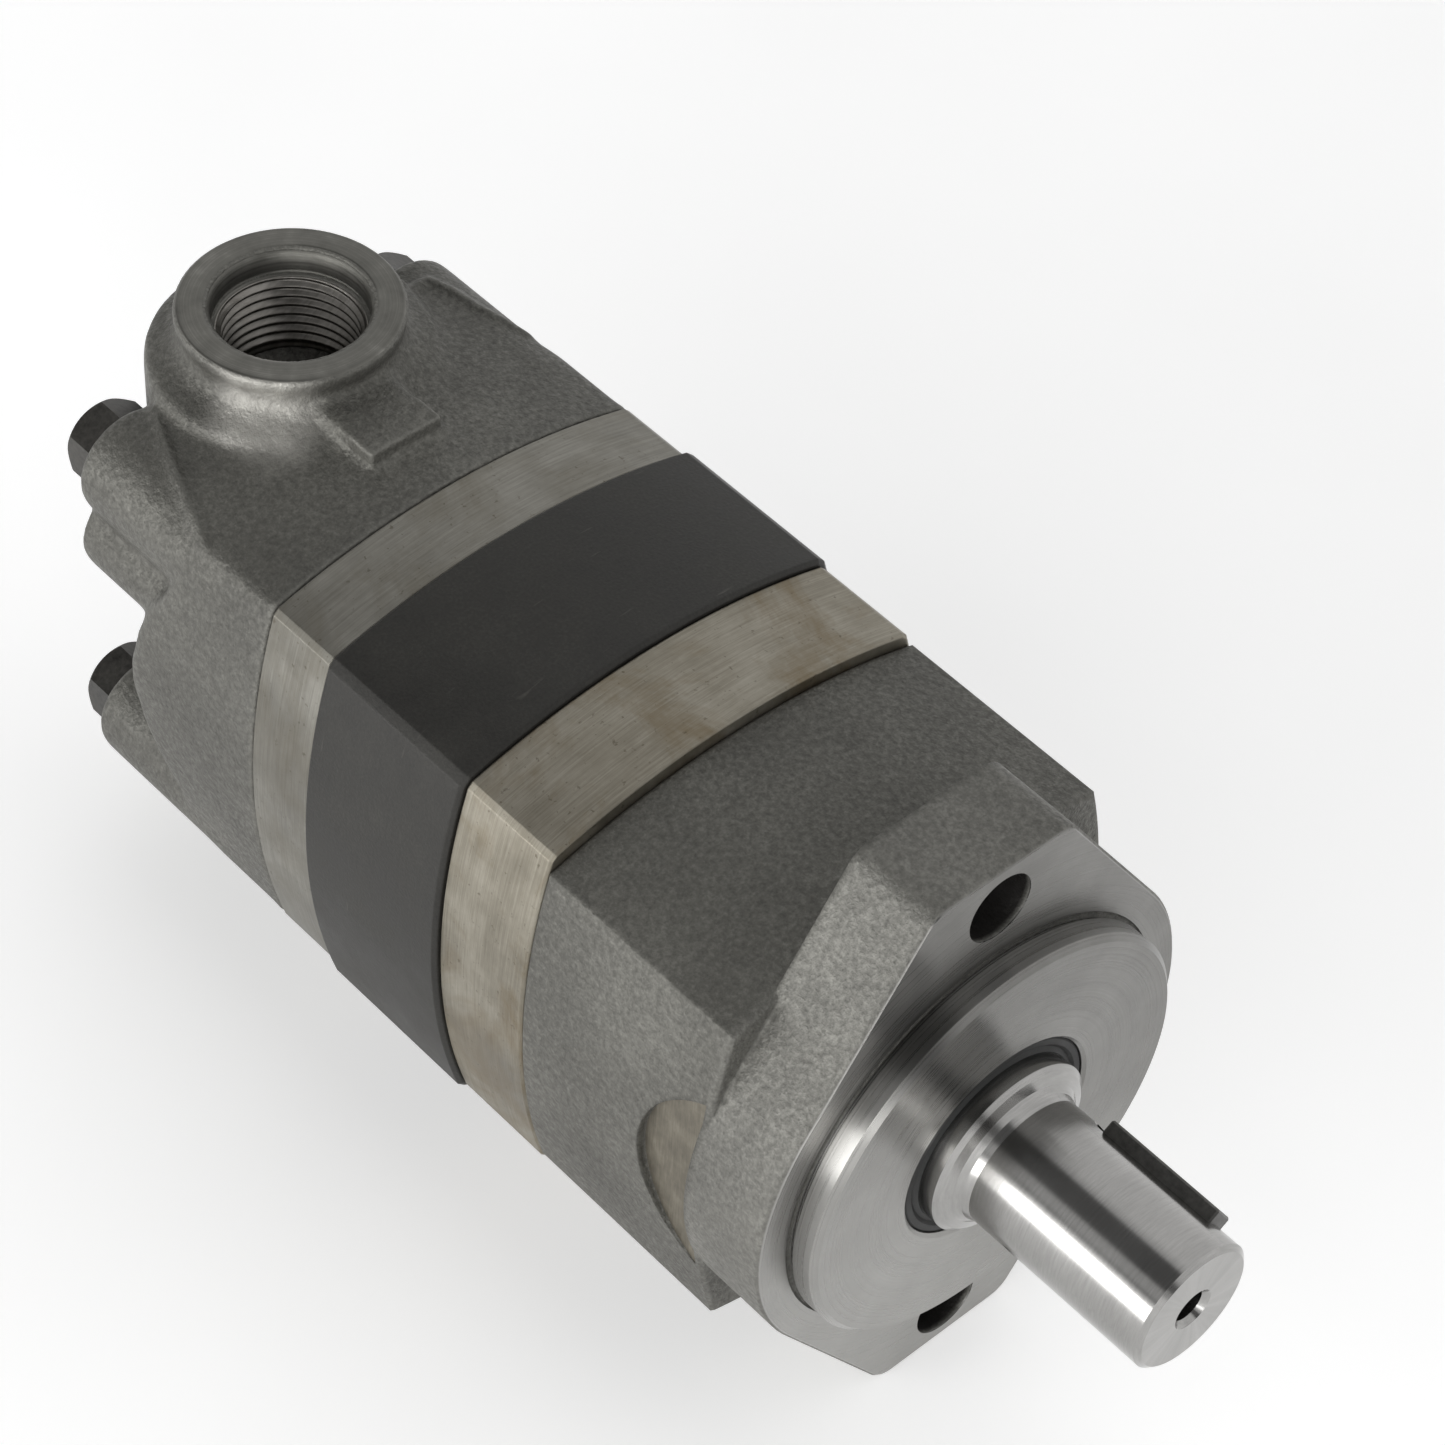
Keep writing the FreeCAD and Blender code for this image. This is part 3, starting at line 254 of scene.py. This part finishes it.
def make_bearing_housing():
    b = Mat("cast_and_machined_front")
    x, y, z = b.sep()
    h, fine, sand, lumps, broad = cast_layers(b)
    col = cast_colour(b, lin((68, 67, 63)), lin((88, 87, 82)), lin((114, 113, 107)), fine, sand, broad)
    # the flange's cast flank is cleaner and lighter than the square body
    flank = b.rng(x, -0.0185, -0.0165)
    col_flank = cast_colour(b, lin((84, 83, 79)), lin((105, 104, 99)), lin((130, 129, 123)), fine, sand, broad)
    col = b.mix(flank, col, col_flank)
    lines, r = turned_steel(b)
    steel = b.ramp(b.math("ADD", b.math("MULTIPLY", lines, 0.6), b.math("MULTIPLY", b.noise(90.0, 3.0), 0.4)),
                   [(0.3, lin((116, 115, 112))), (0.55, lin((140, 139, 136))), (0.8, lin((164, 163, 160)))])
    # painted light: the machined steel is painted lighter towards -Y and -Z, the key-light side, and darker towards +Y
    # and +Z, as lit and shaded copies of one steel tone
    painted_light_lean = b.rng(b.math("ADD", b.math("MULTIPLY", y, 0.55), b.math("MULTIPLY", z, 0.83)), -0.045, 0.040, 0.0, 1.0, smooth=True)
    steel = b.mix(painted_light_lean, b.mix(0.42, steel, lin((186, 185, 182))), b.mix(0.30, steel, lin((92, 91, 89))))
    front = b.rng(x, -0.0003, -0.00012)
    cy = b.math("ADD", x, 0.0085)
    d2 = b.math("SQRT", b.math("ADD", b.math("MULTIPLY", cy, cy), b.math("MULTIPLY", z, z)))
    in_spot = b.math("MULTIPLY", b.rng(d2, 0.02335, 0.0235, 1.0, 0.0), b.rng(y, -0.04435, -0.0442, 0.0, 1.0))
    in_spot = b.math("MULTIPLY", in_spot, b.rng(y, -0.043, -0.0428, 1.0, 0.0))
    in_spot = b.math("MULTIPLY", in_spot, b.rng(x, -0.0183, -0.0180, 1.0, 0.0))
    milled_tone = b.math("ADD", b.math("MULTIPLY", b.noise(1.0, 3.0, 0.7, co=b.scaled((2200.0, 200.0, 200.0))), 0.4), b.math("MULTIPLY", b.noise(160.0, 4.0), 0.6))
    milled = b.ramp(milled_tone, [(0.32, lin((84, 80, 71))), (0.52, lin((108, 103, 92))), (0.74, lin((134, 129, 117)))])
    az = b.math("SUBTRACT", b.math("ABSOLUTE", z), 0.0532)
    hole = b.rng(b.math("SQRT", b.math("ADD", b.math("MULTIPLY", y, y), b.math("MULTIPLY", az, az))), 0.00683, 0.00695, 1.0, 0.0)
    hole = b.math("MULTIPLY", hole, b.rng(x, -0.0012, -0.0003, 1.0, 0.0))
    front = b.math("MULTIPLY", front, b.math("SUBTRACT", 1.0, hole))
    mask = b.math("MAXIMUM", front, in_spot)
    soft = b.soft_edges(0.0010)
    bump_cast = b.bump(h, 1.0, 0.00024, soft)
    bump_turn = b.bump(lines, 0.25, 0.00004)
    nm = b.t.nodes.new("ShaderNodeMix")
    nm.data_type = "VECTOR"
    b.link(mask, nm.inputs[0])
    b.link(bump_cast, nm.inputs[4])
    b.link(bump_turn, nm.inputs[5])
    # painted shade: the inside of each bolt hole is painted near-black
    col = b.mix(hole, col, lin((34, 32, 30)))
    col = b.mix(in_spot, b.mix(front, col, steel), milled)
    rough = b.mixf(in_spot, b.mixf(front, b.rng(sand, 0.35, 0.65, 0.62, 0.5), b.rng(lines, 0.3, 0.7, 0.24, 0.36)), 0.55)
    return b.set(Base_Color=col, Roughness=rough, Metallic=b.mixf(mask, 0.5, b.mixf(in_spot, 1.0, 0.7)), Normal=nm.outputs[1],
                 Anisotropic=b.mixf(front, 0.0, 0.85), Anisotropic_Rotation=0.25, Tangent=tangent_x(b))


def make_valve_housing():
    b = Mat("cast_rear")
    h, fine, sand, lumps, broad = cast_layers(b)
    col = cast_colour(b, lin((66, 65, 61)), lin((86, 85, 80)), lin((112, 111, 105)), fine, sand, broad)
    # high edges are painted a little brighter: a painted edge highlight
    edge_highlight = b.rng(b.pointy(), 0.515, 0.575, 0.0, 0.35)
    col = b.mix(edge_highlight, col, lin((150, 149, 143)))
    x, y, z = b.sep()
    # painted highlight: the concave fillet at the -Y foot of the port boss is painted light grey where it catches the
    # key light
    px = b.math("ADD", x, 0.1798 - 0.0145)
    py = b.math("ADD", y, 0.0185)
    near = b.math("SQRT", b.math("ADD", b.math("MULTIPLY", px, px), b.math("MULTIPLY", py, py)))
    neck_highlight = b.math("MULTIPLY", b.rng(near, 0.004, 0.013, 1.0, 0.0, smooth=True), b.rng(z, 0.0430, 0.0465, 0.0, 1.0, smooth=True))
    neck_highlight = b.math("MULTIPLY", neck_highlight, b.rng(lumps, 0.3, 0.7, 0.55, 1.0))
    col = b.mix(neck_highlight, col, lin((168, 166, 160)))
    return b.set(Base_Color=col, Roughness=b.rng(sand, 0.35, 0.65, 0.58, 0.46), Metallic=0.5, Normal=b.bump(h, 1.0, 0.00024))


def make_port_steel():
    b = Mat("machined_iron")
    x, y, z = b.sep()
    px = b.math("ADD", x, 0.1798)
    r = b.math("SQRT", b.math("ADD", b.math("MULTIPLY", px, px), b.math("MULTIPLY", y, y)))
    co = b.comb(b.math("MULTIPLY", r, 2200.0), b.math("MULTIPLY", z, 2200.0), 0.0)
    lines = b.noise(1.0, 3.0, 0.7, co=co)
    tone = b.math("ADD", b.math("MULTIPLY", lines, 0.5), b.math("MULTIPLY", b.noise(160.0, 4.0), 0.5))
    col = b.ramp(tone, [(0.3, lin((80, 79, 75))), (0.55, lin((108, 107, 102))), (0.8, lin((150, 148, 143)))])
    return b.set(Base_Color=col, Roughness=b.rng(lines, 0.3, 0.7, 0.36, 0.5), Metallic=0.85, Normal=b.bump(lines, 0.35, 0.00006))


def make_ground(name, lo, mid, hi, stain, stain_amt, rough=0.42):
    b = Mat(name)
    x, y, z = b.sep()
    ang = b.math("ARCTAN2", z, y)
    co = b.comb(b.math("MULTIPLY", x, 2400.0), b.math("MULTIPLY", ang, 3.0), 0.0)
    lines = b.noise(1.0, 4.0, 0.75, co=co)
    mott = b.noise(55.0, 5.0, 0.65)
    tone = b.math("ADD", b.math("MULTIPLY", lines, 0.45), b.math("MULTIPLY", mott, 0.55))
    col = b.ramp(tone, [(0.32, lo), (0.5, mid), (0.7, hi)])
    blotch = b.rng(b.noise(38.0, 5.0, 0.7, distortion=0.6), 0.46, 0.68, 0.0, stain_amt)
    col = b.mix(blotch, col, stain)
    specks = b.rng(b.noise(900.0, 2.0, 0.6), 0.66, 0.74, 0.0, 0.5)
    col = b.mix(specks, col, lin((70, 62, 48)))
    edge = b.soft_edges(0.0004)
    return b.set(Base_Color=col, Roughness=b.rng(mott, 0.3, 0.7, rough - 0.06, rough + 0.12), Metallic=0.9,
                 Normal=b.bump(lines, 0.3, 0.00006, edge))


def make_black_ring():
    b = Mat("black_phosphate")
    x, y, z = b.sep()
    fine = b.noise(1700.0, 3.0, 0.6)
    mott = b.noise(70.0, 5.0, 0.6)
    scr = b.noise(1.0, 2.0, 0.8, co=b.scaled((500.0, 60.0, 60.0)))
    col = b.ramp(b.math("ADD", b.math("MULTIPLY", fine, 0.4), b.math("MULTIPLY", mott, 0.6)),
                 [(0.3, lin((34, 33, 31))), (0.55, lin((47, 46, 43))), (0.75, lin((60, 59, 55)))])
    worn = b.rng(scr, 0.70, 0.78, 0.0, 0.35)
    col = b.mix(worn, col, lin((96, 94, 88)))
    edge = b.soft_edges(0.0006)
    return b.set(Base_Color=col, Roughness=b.rng(mott, 0.3, 0.7, 0.42, 0.56), Metallic=0.5,
                 Normal=b.bump(b.math("ADD", fine, b.math("MULTIPLY", scr, 0.5)), 0.4, 0.00012, edge))


def make_shaft():
    b = Mat("polished_shaft")
    x, y, z = b.sep()
    ang = b.math("ARCTAN2", z, y)
    co = b.comb(b.math("MULTIPLY", x, 2500.0), b.math("MULTIPLY", ang, 2.0), 0.0)
    lines = b.noise(1.0, 4.0, 0.75, co=co)
    mott = b.noise(80.0, 3.0, 0.6)
    col = b.ramp(b.math("ADD", b.math("MULTIPLY", lines, 0.6), b.math("MULTIPLY", mott, 0.4)),
                 [(0.3, lin((146, 145, 143))), (0.55, lin((164, 163, 161))), (0.8, lin((180, 179, 177)))])
    return b.set(Base_Color=col, Roughness=b.rng(mott, 0.3, 0.7, 0.15, 0.22), Metallic=1.0, Normal=b.bump(lines, 0.15, 0.00002),
                 Anisotropic=0.6, Anisotropic_Rotation=0.25, Tangent=tangent_x(b))


def make_dark(name, lo, hi, rough, metal, bump_scale=900.0):
    b = Mat(name)
    n = b.noise(bump_scale, 3.0, 0.65)
    m = b.noise(120.0, 4.0, 0.6)
    col = b.ramp(b.math("ADD", b.math("MULTIPLY", n, 0.5), b.math("MULTIPLY", m, 0.5)), [(0.3, lo), (0.72, hi)])
    return b.set(Base_Color=col, Roughness=b.rng(m, 0.3, 0.7, rough, rough + 0.14), Metallic=metal, Normal=b.bump(n, 0.35, 0.0001))


def make_bright(name, lo, hi, rough):
    b = Mat(name)
    lines = b.noise(1.0, 3.0, 0.7, co=b.scaled((1500.0, 300.0, 300.0)))
    m = b.noise(140.0, 4.0, 0.6)
    col = b.ramp(b.math("ADD", b.math("MULTIPLY", lines, 0.5), b.math("MULTIPLY", m, 0.5)), [(0.3, lo), (0.72, hi)])
    return b.set(Base_Color=col, Roughness=b.rng(m, 0.3, 0.7, rough, rough + 0.12), Metallic=1.0, Normal=b.bump(lines, 0.25, 0.00004))


M = {
    "bearing_housing": make_bearing_housing(),
    "valve_housing": make_valve_housing(),
    "wear_plate": make_ground("ground_tarnished", lin((104, 99, 88)), lin((132, 127, 115)), lin((162, 158, 147)), lin((104, 88, 60)), 0.7),
    "valve_plate": make_ground("ground_grey", lin((100, 98, 92)), lin((124, 122, 115)), lin((150, 148, 141)), lin((92, 86, 72)), 0.45),
    "gerotor_ring": make_black_ring(),
    "output_shaft": make_shaft(),
    "port": make_port_steel(),
    "thread": make_bright("cut_thread", lin((104, 101, 96)), lin((158, 155, 150)), 0.30),
    "dark": make_dark("black_oxide", lin((26, 25, 24)), lin((52, 50, 47)), 0.38, 0.7),
    "key": make_dark("blued_key", lin((62, 61, 59)), lin((104, 103, 100)), 0.30, 0.85),
    "screw": make_dark("screw_oxide", lin((42, 41, 39)), lin((82, 80, 76)), 0.36, 0.75),
    "rubber": make_dark("seal_rubber", lin((14, 14, 14)), lin((30, 30, 29)), 0.5, 0.0),
    "bright": make_bright("bearing_steel", lin((150, 150, 150)), lin((205, 205, 203)), 0.2),
    "machined": make_bright("machined_steel", lin((120, 119, 116)), lin((170, 168, 165)), 0.32),
    "spring": make_bright("spring_wire", lin((110, 110, 112)), lin((160, 160, 162)), 0.3),
}
for n, o in nodes.items():
    if n in M:
        m = M[n]
    elif "seal" in n and n != "seal_backup_ring":
        m = M["rubber"]
    elif n == "shaft_key":
        m = M["key"]
    elif n in ("cap_screws", "case_drain_plug"):
        m = M["screw"]
    elif n.startswith("roller_") or "bearing" in n:
        m = M["bright"]
    elif n == "balance_springs":
        m = M["spring"]
    else:
        m = M["machined"]
    o.data.materials.clear()
    o.data.materials.append(m)

# ----------------------------------------------------------------------------
# the rear casting with soft cast edges, and the machined port faces and threads
# ----------------------------------------------------------------------------
PORT_X, PORT_FACE = -0.1798, 0.0557


def add_object(name, me, mat):
    o = bpy.data.objects.new(name, me)
    bpy.context.scene.collection.objects.link(o)
    o.data.materials.clear()
    o.data.materials.append(mat)
    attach(o, "motor_body")
    return o


def span(v, a, b):
    """0 at a, 1 at b, smooth between."""
    t = np.clip((v - a) / (b - a), 0.0, 1.0)
    return t * t * (3.0 - 2.0 * t)


def remeshed(node, voxel):
    src = nodes[node]
    o = bpy.data.objects.new(node + "_remesh", src.data.copy())
    bpy.context.scene.collection.objects.link(o)
    o.matrix_world = Matrix.Identity(4)
    o.data.transform(src.matrix_world)
    m = o.modifiers.new("voxels", "REMESH")
    m.mode = "VOXEL"
    m.voxel_size = voxel
    bpy.context.view_layer.update()
    me = bpy.data.meshes.new_from_object(o.evaluated_get(bpy.context.evaluated_depsgraph_get()))
    bpy.data.objects.remove(o)
    return me


def coords(me):
    co = np.empty(len(me.vertices) * 3)
    me.vertices.foreach_get("co", co)
    return co.reshape(-1, 3)


def relax(me, co, weight, passes, factor=0.5):
    n = len(co)
    ed = np.empty(len(me.edges) * 2, dtype=np.int64)
    me.edges.foreach_get("vertices", ed)
    a, b = ed[0::2], ed[1::2]
    deg = np.maximum(np.bincount(a, minlength=n) + np.bincount(b, minlength=n), 1)[:, None]
    for _ in range(passes):
        s = np.stack([np.bincount(a, co[b, k], n) + np.bincount(b, co[a, k], n) for k in range(3)], 1)
        co = co + (s / deg - co) * weight[:, None] * factor
    return co


def cast_rear():
    me = remeshed("valve_housing", 0.00062)
    co = coords(me)
    x, y, z = co.T
    pr = np.hypot(x - PORT_X, y)
    # weight 0 on the machined faces, 1 on the raw casting
    w = 1.0 - span(x, -0.1372, -0.1355)
    far = np.abs(z)
    face = span(pr, 0.0205, 0.0216)
    w = np.where(far > PORT_FACE - 0.0022, w * np.maximum(face, span(PORT_FACE - far, 0.0008, 0.0022)), w)
    w = np.where((pr < 0.0150) & (far > 0.030), 0.0, w)
    w = np.where((far > 0.0518) & (pr > 0.0180), np.minimum(w, 0.30), w)
    pad = (z > 0.0466) & (np.abs(y + 0.0015) < 0.0095) & (x > -0.1520) & (x < -0.1440)
    w = np.where(pad, np.minimum(w, 0.12), w)
    inner = np.hypot(y, z) < 0.0355
    w = np.where(inner & (x > -0.188) & (pr > 0.02), 0.0, w)
    for sy in (-1, 1):
        for sz in (-1, 1):
            d = np.hypot(y - sy * 0.0313, z - sz * 0.0313)
            w = np.where(d < 0.0062, 0.0, w)
            w = np.where((d < 0.0090) & (x < -0.1868), w * 0.15, w)
    dd = np.hypot(y + 0.034, z - 0.0173)
    w = np.where((dd < 0.0066) & (x < -0.172), 0.0, w)
    co = relax(me, co, w, 26)
    co = relax(me, co, np.full(len(co), 0.35), 3)
    # room for the thread sleeve inside each port
    x, y, z = co.T
    vx, vy = x - PORT_X, y
    pr = np.hypot(vx, vy)
    far = np.abs(z)
    m = (pr < 0.0147) & (pr > 0.0112) & (far > 0.0338) & (far < PORT_FACE + 0.001)
    k = np.where(m, np.maximum(pr, 0.01375 + 0.0012 * span(far, 0.0502, 0.0510)) / np.maximum(pr, 1e-6), 1.0)
    co[:, 0] = PORT_X + vx * k
    co[:, 1] = vy * k
    # low cast ridges beside the port column
    for line, side in (([(-0.1475, -0.0438), (-0.1495, -0.0432), (-0.1574, -0.0382), (-0.1678, -0.0346), (-0.1796, -0.0298), (-0.1850, -0.0270)], 1.0),
                       ([(-0.1805, 0.0262), (-0.1808, 0.0322), (-0.1760, 0.0340), (-0.1699, 0.0349), (-0.1600, 0.0385)], 1.0)):
        x, y, z = co.T
        d = np.full(len(co), 1.0)
        for (ax, ay), (bx, by) in zip(line[:-1], line[1:]):
            ux, uy = bx - ax, by - ay
            t = np.clip(((x - ax) * ux + (y - ay) * uy) / (ux * ux + uy * uy), 0.0, 1.0)
            d = np.minimum(d, np.hypot(x - ax - t * ux, y - ay - t * uy))
        lift = 0.0009 * np.exp(-((d / 0.0012) ** 2)) * span(z, 0.036, 0.040) * span(-x, 0.1400, 0.1460) * span(np.hypot(x - PORT_X, y), 0.0235, 0.0262)
        co[:, 2] += lift
    # keep the skin inside the solid casting's height
    co[:, 2] = np.minimum(co[:, 2], PORT_FACE)
    me.vertices.foreach_set("co", co.ravel())
    me.update()
    me.polygons.foreach_set("use_smooth", [True] * len(me.polygons))
    o = add_object("rear_casting", me, M["valve_housing"])
    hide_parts("valve_housing")
    return o


def turned_ring(name, prof, sgn, seg, mat, shade=True):
    """A closed profile of (radius, height) turned about a port's axis; sgn picks the upper or lower port."""
    bm = bmesh.new()
    rings = []
    for j in range(seg):
        t = 2.0 * math.pi * j / seg
        rings.append([bm.verts.new((PORT_X + r * math.cos(t), r * math.sin(t) * sgn, h * sgn)) for r, h in prof])
    n = len(prof)
    for j in range(seg):
        p, q = rings[j], rings[(j + 1) % seg]
        for i in range(n):
            bm.faces.new((p[i], q[i], q[(i + 1) % n], p[(i + 1) % n]))
    bmesh.ops.recalc_face_normals(bm, faces=bm.faces[:])
    me = bpy.data.meshes.new(name)
    bm.to_mesh(me)
    bm.free()
    me.polygons.foreach_set("use_smooth", [shade] * len(me.polygons))
    return add_object(name, me, mat)


def port_face(name, sgn):
    f = PORT_FACE
    prof = [(0.0149, f - 0.0046), (0.0149, f - 0.0009), (0.0151, f - 0.0004), (0.0156, f + 0.00006), (0.0160, f + 0.00008),
            (0.0198, f + 0.00008), (0.0201, f + 0.00004), (0.0205, f - 0.0004), (0.0206, f - 0.0012), (0.0204, f - 0.0018),
            (0.0180, f - 0.0018), (0.0160, f - 0.0030), (0.0158, f - 0.0062), (0.0136, f - 0.0062), (0.0136, f - 0.0054), (0.0142, f - 0.0054)]
    prof = [(0.0144 if abs(r - 0.0149) < 1e-9 else r, h) for r, h in prof]
    return turned_ring(name, prof, sgn, 128, M["port"])


def port_threads(name, sgn):
    """Sleeve whose inner wall carries a true helical thread, 12 turns to the inch."""
    pitch, z0, z1, crest, root, back = 0.0021167, 0.0341, 0.0501, 0.0124, 0.01335, 0.0137
    seg, per = 120, 12
    rows = int(round((z1 - z0) / pitch * per))
    bm = bmesh.new()
    grid = []
    for i in range(rows + 1):
        h = z0 + (z1 - z0) * i / rows
        ring = []
        for j in range(seg):
            t = 2.0 * math.pi * j / seg
            ph = (h / pitch - t / (2.0 * math.pi)) % 1.0
            tri = abs(2.0 * ph - 1.0)
            tri = min(max((tri - 0.12) / 0.76, 0.0), 1.0)
            r = crest + (root - crest) * tri
            lead = max(0.0, (h - (z1 - 0.0014)) / 0.0014)
            r = max(r, crest + (root - crest) * 1.15 * lead)
            foot = max(0.0, ((z0 + 0.002) - h) / 0.002)
            r = r * (1 - foot) + crest * foot
            ring.append(bm.verts.new((PORT_X + r * math.cos(t), r * math.sin(t) * sgn, h * sgn)))
        grid.append(ring)
    top = [bm.verts.new((PORT_X + back * math.cos(2 * math.pi * j / seg), back * math.sin(2 * math.pi * j / seg) * sgn, z1 * sgn)) for j in range(seg)]
    low = [bm.verts.new((PORT_X + back * math.cos(2 * math.pi * j / seg), back * math.sin(2 * math.pi * j / seg) * sgn, z0 * sgn)) for j in range(seg)]
    strips = grid + [top, low]
    for i in range(len(strips)):
        p, q = strips[i], strips[(i + 1) % len(strips)]
        for j in range(seg):
            k = (j + 1) % seg
            bm.faces.new((p[j], p[k], q[k], q[j]))
    bmesh.ops.recalc_face_normals(bm, faces=bm.faces[:])
    me = bpy.data.meshes.new(name)
    bm.to_mesh(me)
    bm.free()
    me.polygons.foreach_set("use_smooth", [True] * len(me.polygons))
    return add_object(name, me, M["thread"])


cast_rear()
port_face("port_a_face", 1)
port_face("port_b_face", -1)
port_threads("port_a_threads", 1)
port_threads("port_b_threads", -1)

# ----------------------------------------------------------------------------
# camera, floor and light
# ----------------------------------------------------------------------------
cam_data = bpy.data.cameras.new("camera")
cam = bpy.data.objects.new("camera", cam_data)
bpy.context.scene.collection.objects.link(cam)
rv = Vector((2.2013, 1.00354, -0.33620))
R = Matrix.Rotation(rv.length, 3, rv.normalized())
cam.matrix_world = Matrix.Translation(Vector((0.29369, -0.35602, 0.58515))) @ Matrix((R[0], -R[1], -R[2])).transposed().to_4x4()
cam_data.sensor_width = 36.0
cam_data.lens = 36.0 * 4458.15 / 1445.0
cam_data.clip_start = 0.01
cam_data.clip_end = 20.0
bpy.context.scene.camera = cam

lo, hi = [Vector(v) for v in box0]
floor_mesh = bpy.data.meshes.new("floor")
s = 6.0
floor_mesh.from_pydata([(-s, -s, 0), (s, -s, 0), (s, s, 0), (-s, s, 0)], [], [(0, 1, 2, 3)])
floor = bpy.data.objects.new("floor", floor_mesh)
bpy.context.scene.collection.objects.link(floor)
floor.location = (-0.09, 0, lo.z)
fm = Mat("pale_floor")
fn = fm.noise(9.0, 3.0, 0.5)
fm.set(Base_Color=fm.ramp(fn, [(0.3, (0.88, 0.88, 0.88)), (0.7, (0.91, 0.91, 0.91))]), Roughness=0.8,
       Emission_Color=(1.0, 1.0, 1.0), Emission_Strength=0.34)
floor.data.materials.append(fm.m)
floor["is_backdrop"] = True


def area(name, loc, target, size, power, size_y=None, col=(1, 1, 1)):
    d = bpy.data.lights.new(name, "AREA")
    d.shape = "RECTANGLE"
    d.size = size
    d.size_y = size_y or size
    d.energy = power
    d.color = col
    o = bpy.data.objects.new(name, d)
    bpy.context.scene.collection.objects.link(o)
    o.location = loc
    o.rotation_mode = "QUATERNION"
    o.rotation_quaternion = (Vector(target) - Vector(loc)).to_track_quat("-Z", "Y")
    return o


mid = (-0.08, 0, 0)
# a long low soft box on the left and dim surroundings that shape the metal's reflections
area("key", (-0.15, -1.15, 0.17), (-0.1, 0, 0.02), 1.9, 12.0, 0.48)
area("rim", (0.9, -0.75, 0.35), mid, 0.35, 2.0, 0.5)

world = bpy.data.worlds.new("studio")
bpy.context.scene.world = world
world.use_nodes = True
wt = world.node_tree
wd = wt.nodes.new("ShaderNodeTexCoord").outputs["Generated"]
wsep = wt.nodes.new("ShaderNodeSeparateXYZ")
wt.links.new(wd, wsep.inputs[0])
wneg = wt.nodes.new("ShaderNodeMath")
wneg.operation = "MULTIPLY"
wneg.inputs[1].default_value = -1.0
wt.links.new(wsep.outputs[1], wneg.inputs[0])
wang = wt.nodes.new("ShaderNodeMath")
wang.operation = "ARCTAN2"
wt.links.new(wneg.outputs[0], wang.inputs[0])
wt.links.new(wsep.outputs[2], wang.inputs[1])
wnorm = wt.nodes.new("ShaderNodeMapRange")
wnorm.inputs["From Min"].default_value = -math.pi
wnorm.inputs["From Max"].default_value = math.pi
wt.links.new(wang.outputs[0], wnorm.inputs["Value"])
wramp = wt.nodes.new("ShaderNodeValToRGB")
wel = wramp.color_ramp.elements
while len(wel) > 1:
    wel.remove(wel[0])
for i, (deg, v) in enumerate([(-180, 0.75), (-92, 0.75), (-60, 0.62), (-12, 0.62), (0, 0.45), (5, 0.10), (36, 0.10), (42, 0.42), (54, 0.42), (60, 0.2), (66, 0.8), (95, 0.9), (180, 0.75)]):
    e = wel[0] if i == 0 else wel.new((deg + 180.0) / 360.0)
    e.position = (deg + 180.0) / 360.0
    e.color = (v, v, v, 1.0)
wt.links.new(wnorm.outputs[0], wramp.inputs[0])
wt.links.new(wramp.outputs[0], wt.nodes["Background"].inputs[0])
wt.nodes["Background"].inputs[1].default_value = 1.42

sc = bpy.context.scene
sc.view_settings.view_transform = "Standard"

lo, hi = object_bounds()
